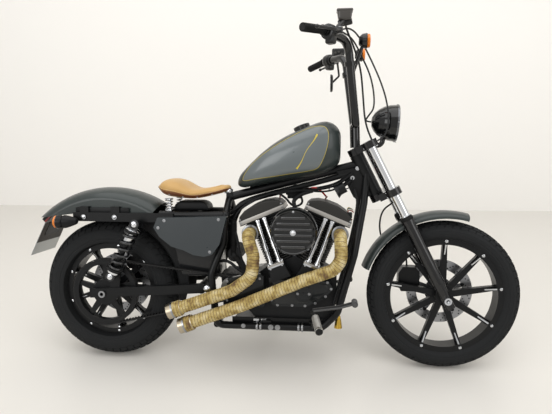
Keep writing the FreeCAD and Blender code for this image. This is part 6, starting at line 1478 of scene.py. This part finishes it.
# Tail: a red lens on the tail lamp, bare light metal on the blank number plate, and two steel screws
# at its top.
RED_LENS = finish_of("tail_lens_red", "8E0F0C", 0.14, coat=0.8, Transmission_Weight=0.2)
paint(finish_of("plate_aluminium", "B9BBBA", 0.38, 0.5, grain=0.05, grain_mm=1, patch=0.06), "number_plate")
lens = box_of((0, 0, 0), (47.4, 75.4, 11), 3, 3)
angle = math.radians(43)
lens.rotation_euler = (0, -angle, 0)
lamp_out = Vector((-math.sin(angle), 0, math.cos(angle)))
lens.location = Vector(REAR_AXLE) + lamp_out * 450 - lamp_out * 6
settle(lens, "tail_lens", RED_LENS, "chassis")
PLATE_TILT, PLATE_MIDDLE = math.radians(26.6), Vector((-318, 0, 562))
plate_way = Vector((-math.cos(PLATE_TILT), 0, math.sin(PLATE_TILT)))
plate_up = Vector((plate_way.z, 0, -plate_way.x))
screws = [bolt(Vector((-318, side * 40, 562)) + plate_way * 0.8 + plate_up * 60, plate_way, 4, 3, 6)
          for side in (-1, 1)]
settle(joined(screws), "plate_screws", STEEL, "chassis")

# Inner mudguard and belt: a black liner with turned-up sides between the tyre and the oil tank, and
# the belt's teeth on the inside of both runs.
LINER = finish_of("liner_plastic_black", "101112", 0.6, grain=0.2, grain_mm=1.2, patch=0.06,
                  Specular_IOR_Level=0.2)
LINER_ROWS = [(-76, 398), (-76, 345), (-70, 337), (68, 337), (74, 345), (74, 398)]
begin()
bpy.ops.mesh.primitive_grid_add(x_subdivisions=len(LINER_ROWS) - 1, y_subdivisions=40, size=2)


def liner(v):
    y, radius = LINER_ROWS[round((v.x + 1) / 2 * (len(LINER_ROWS) - 1))]
    angle = math.radians(76 - 82 * (v.y + 1) / 2)
    if radius > 345:
        radius -= 30 * max((v.y - 0.4) / 0.6, 0)
    return Vector((radius * math.cos(angle), y, AXLE_HEIGHT + radius * math.sin(angle)))


item = shape(liner)
modified(item, "SOLIDIFY", thickness=3)
settle(item, "inner_mudguard", LINER, "chassis", smooth=30)
BELT = finish_of("belt_rubber_black", "1C1C1C", 0.6, grain=0.2, grain_mm=0.8, Specular_IOR_Level=0.25)
paint(BELT, "drive_belt")
teeth = []
REAR_PULLEY, DRIVE_PULLEY, BELT_Y = 150, 48, -92
DRIVE_SHAFT = (585, 360)
gap = Vector((DRIVE_SHAFT[0], 0, DRIVE_SHAFT[1] - AXLE_HEIGHT))
open_angle = math.asin((REAR_PULLEY - DRIVE_PULLEY) / gap.length)
for sign in (1, -1):
    turn = Matrix.Rotation(-sign * (math.pi / 2 - open_angle), 3, "Y")
    out = turn @ gap.normalized()
    start = Vector((0, BELT_Y, AXLE_HEIGHT)) + out * (REAR_PULLEY + 0.2)
    stop = Vector((DRIVE_SHAFT[0], BELT_Y, DRIVE_SHAFT[1])) + out * (DRIVE_PULLEY + 0.2)
    way = (stop - start).normalized()
    count = 40
    for i in range(2, count - 1):
        tooth = box_of((0, 0, 0), (6.5, 21, 4.4), 1.2)
        tooth.rotation_euler = (0, -math.atan2(way.z, way.x), 0)
        tooth.location = start + (stop - start) * i / count - out * 2.2
        teeth.append(tooth)
settle(joined(teeth), "belt_teeth", BELT, "chassis")

# Behind the rear cylinder: the starter's ribbed black case with a stud at its end, its rubber elbow,
# chrome caps on the swingarm's pivot, and a dark card behind the plate's upper part.
ribs = [(0, 0), (0, 30), (4, 34)]
for step in range(10):
    ribs += [(8 + step * 12, 34), (9 + step * 12, 32), (13 + step * 12, 32), (14 + step * 12, 34)]
ribs += [(132, 34), (137, 30), (138, 10), (146, 9), (146, 0)]
starter = turned(ribs, (592, 66, 505), (0, -1, 0), 36)
settle(starter, "starter_case", PLASTIC, "chassis", smooth=30)
link = bent([(592, -60, 500), (620, -66, 470), (640, -70, 430)], 16, 18, 40)
settle(link, "starter_elbow", RUBBER, "chassis", smooth=50)
caps = [turned([(0, 0), (0, 15), (2, 15), (3, 11), (8, 10), (10, 7), (10, 0)], (482, side * 134.2, 361),
               (0, side, 0), 24) for side in (-1, 1)]
settle(joined(caps), "pivot_caps", CHROME, "chassis")
card = box_of((0, 0, 0), (104, 194, 1.4), 0.5)
shape(lambda v: PLATE_MIDDLE + plate_up * (v.x + 32) + Vector((0, v.y, 0)) + plate_way * (v.z - 1.5))
settle(card, "plate_card", finish_of("plate_card_dark", "3E3A36", 0.6, grain=0.2, grain_mm=1.2), "chassis")
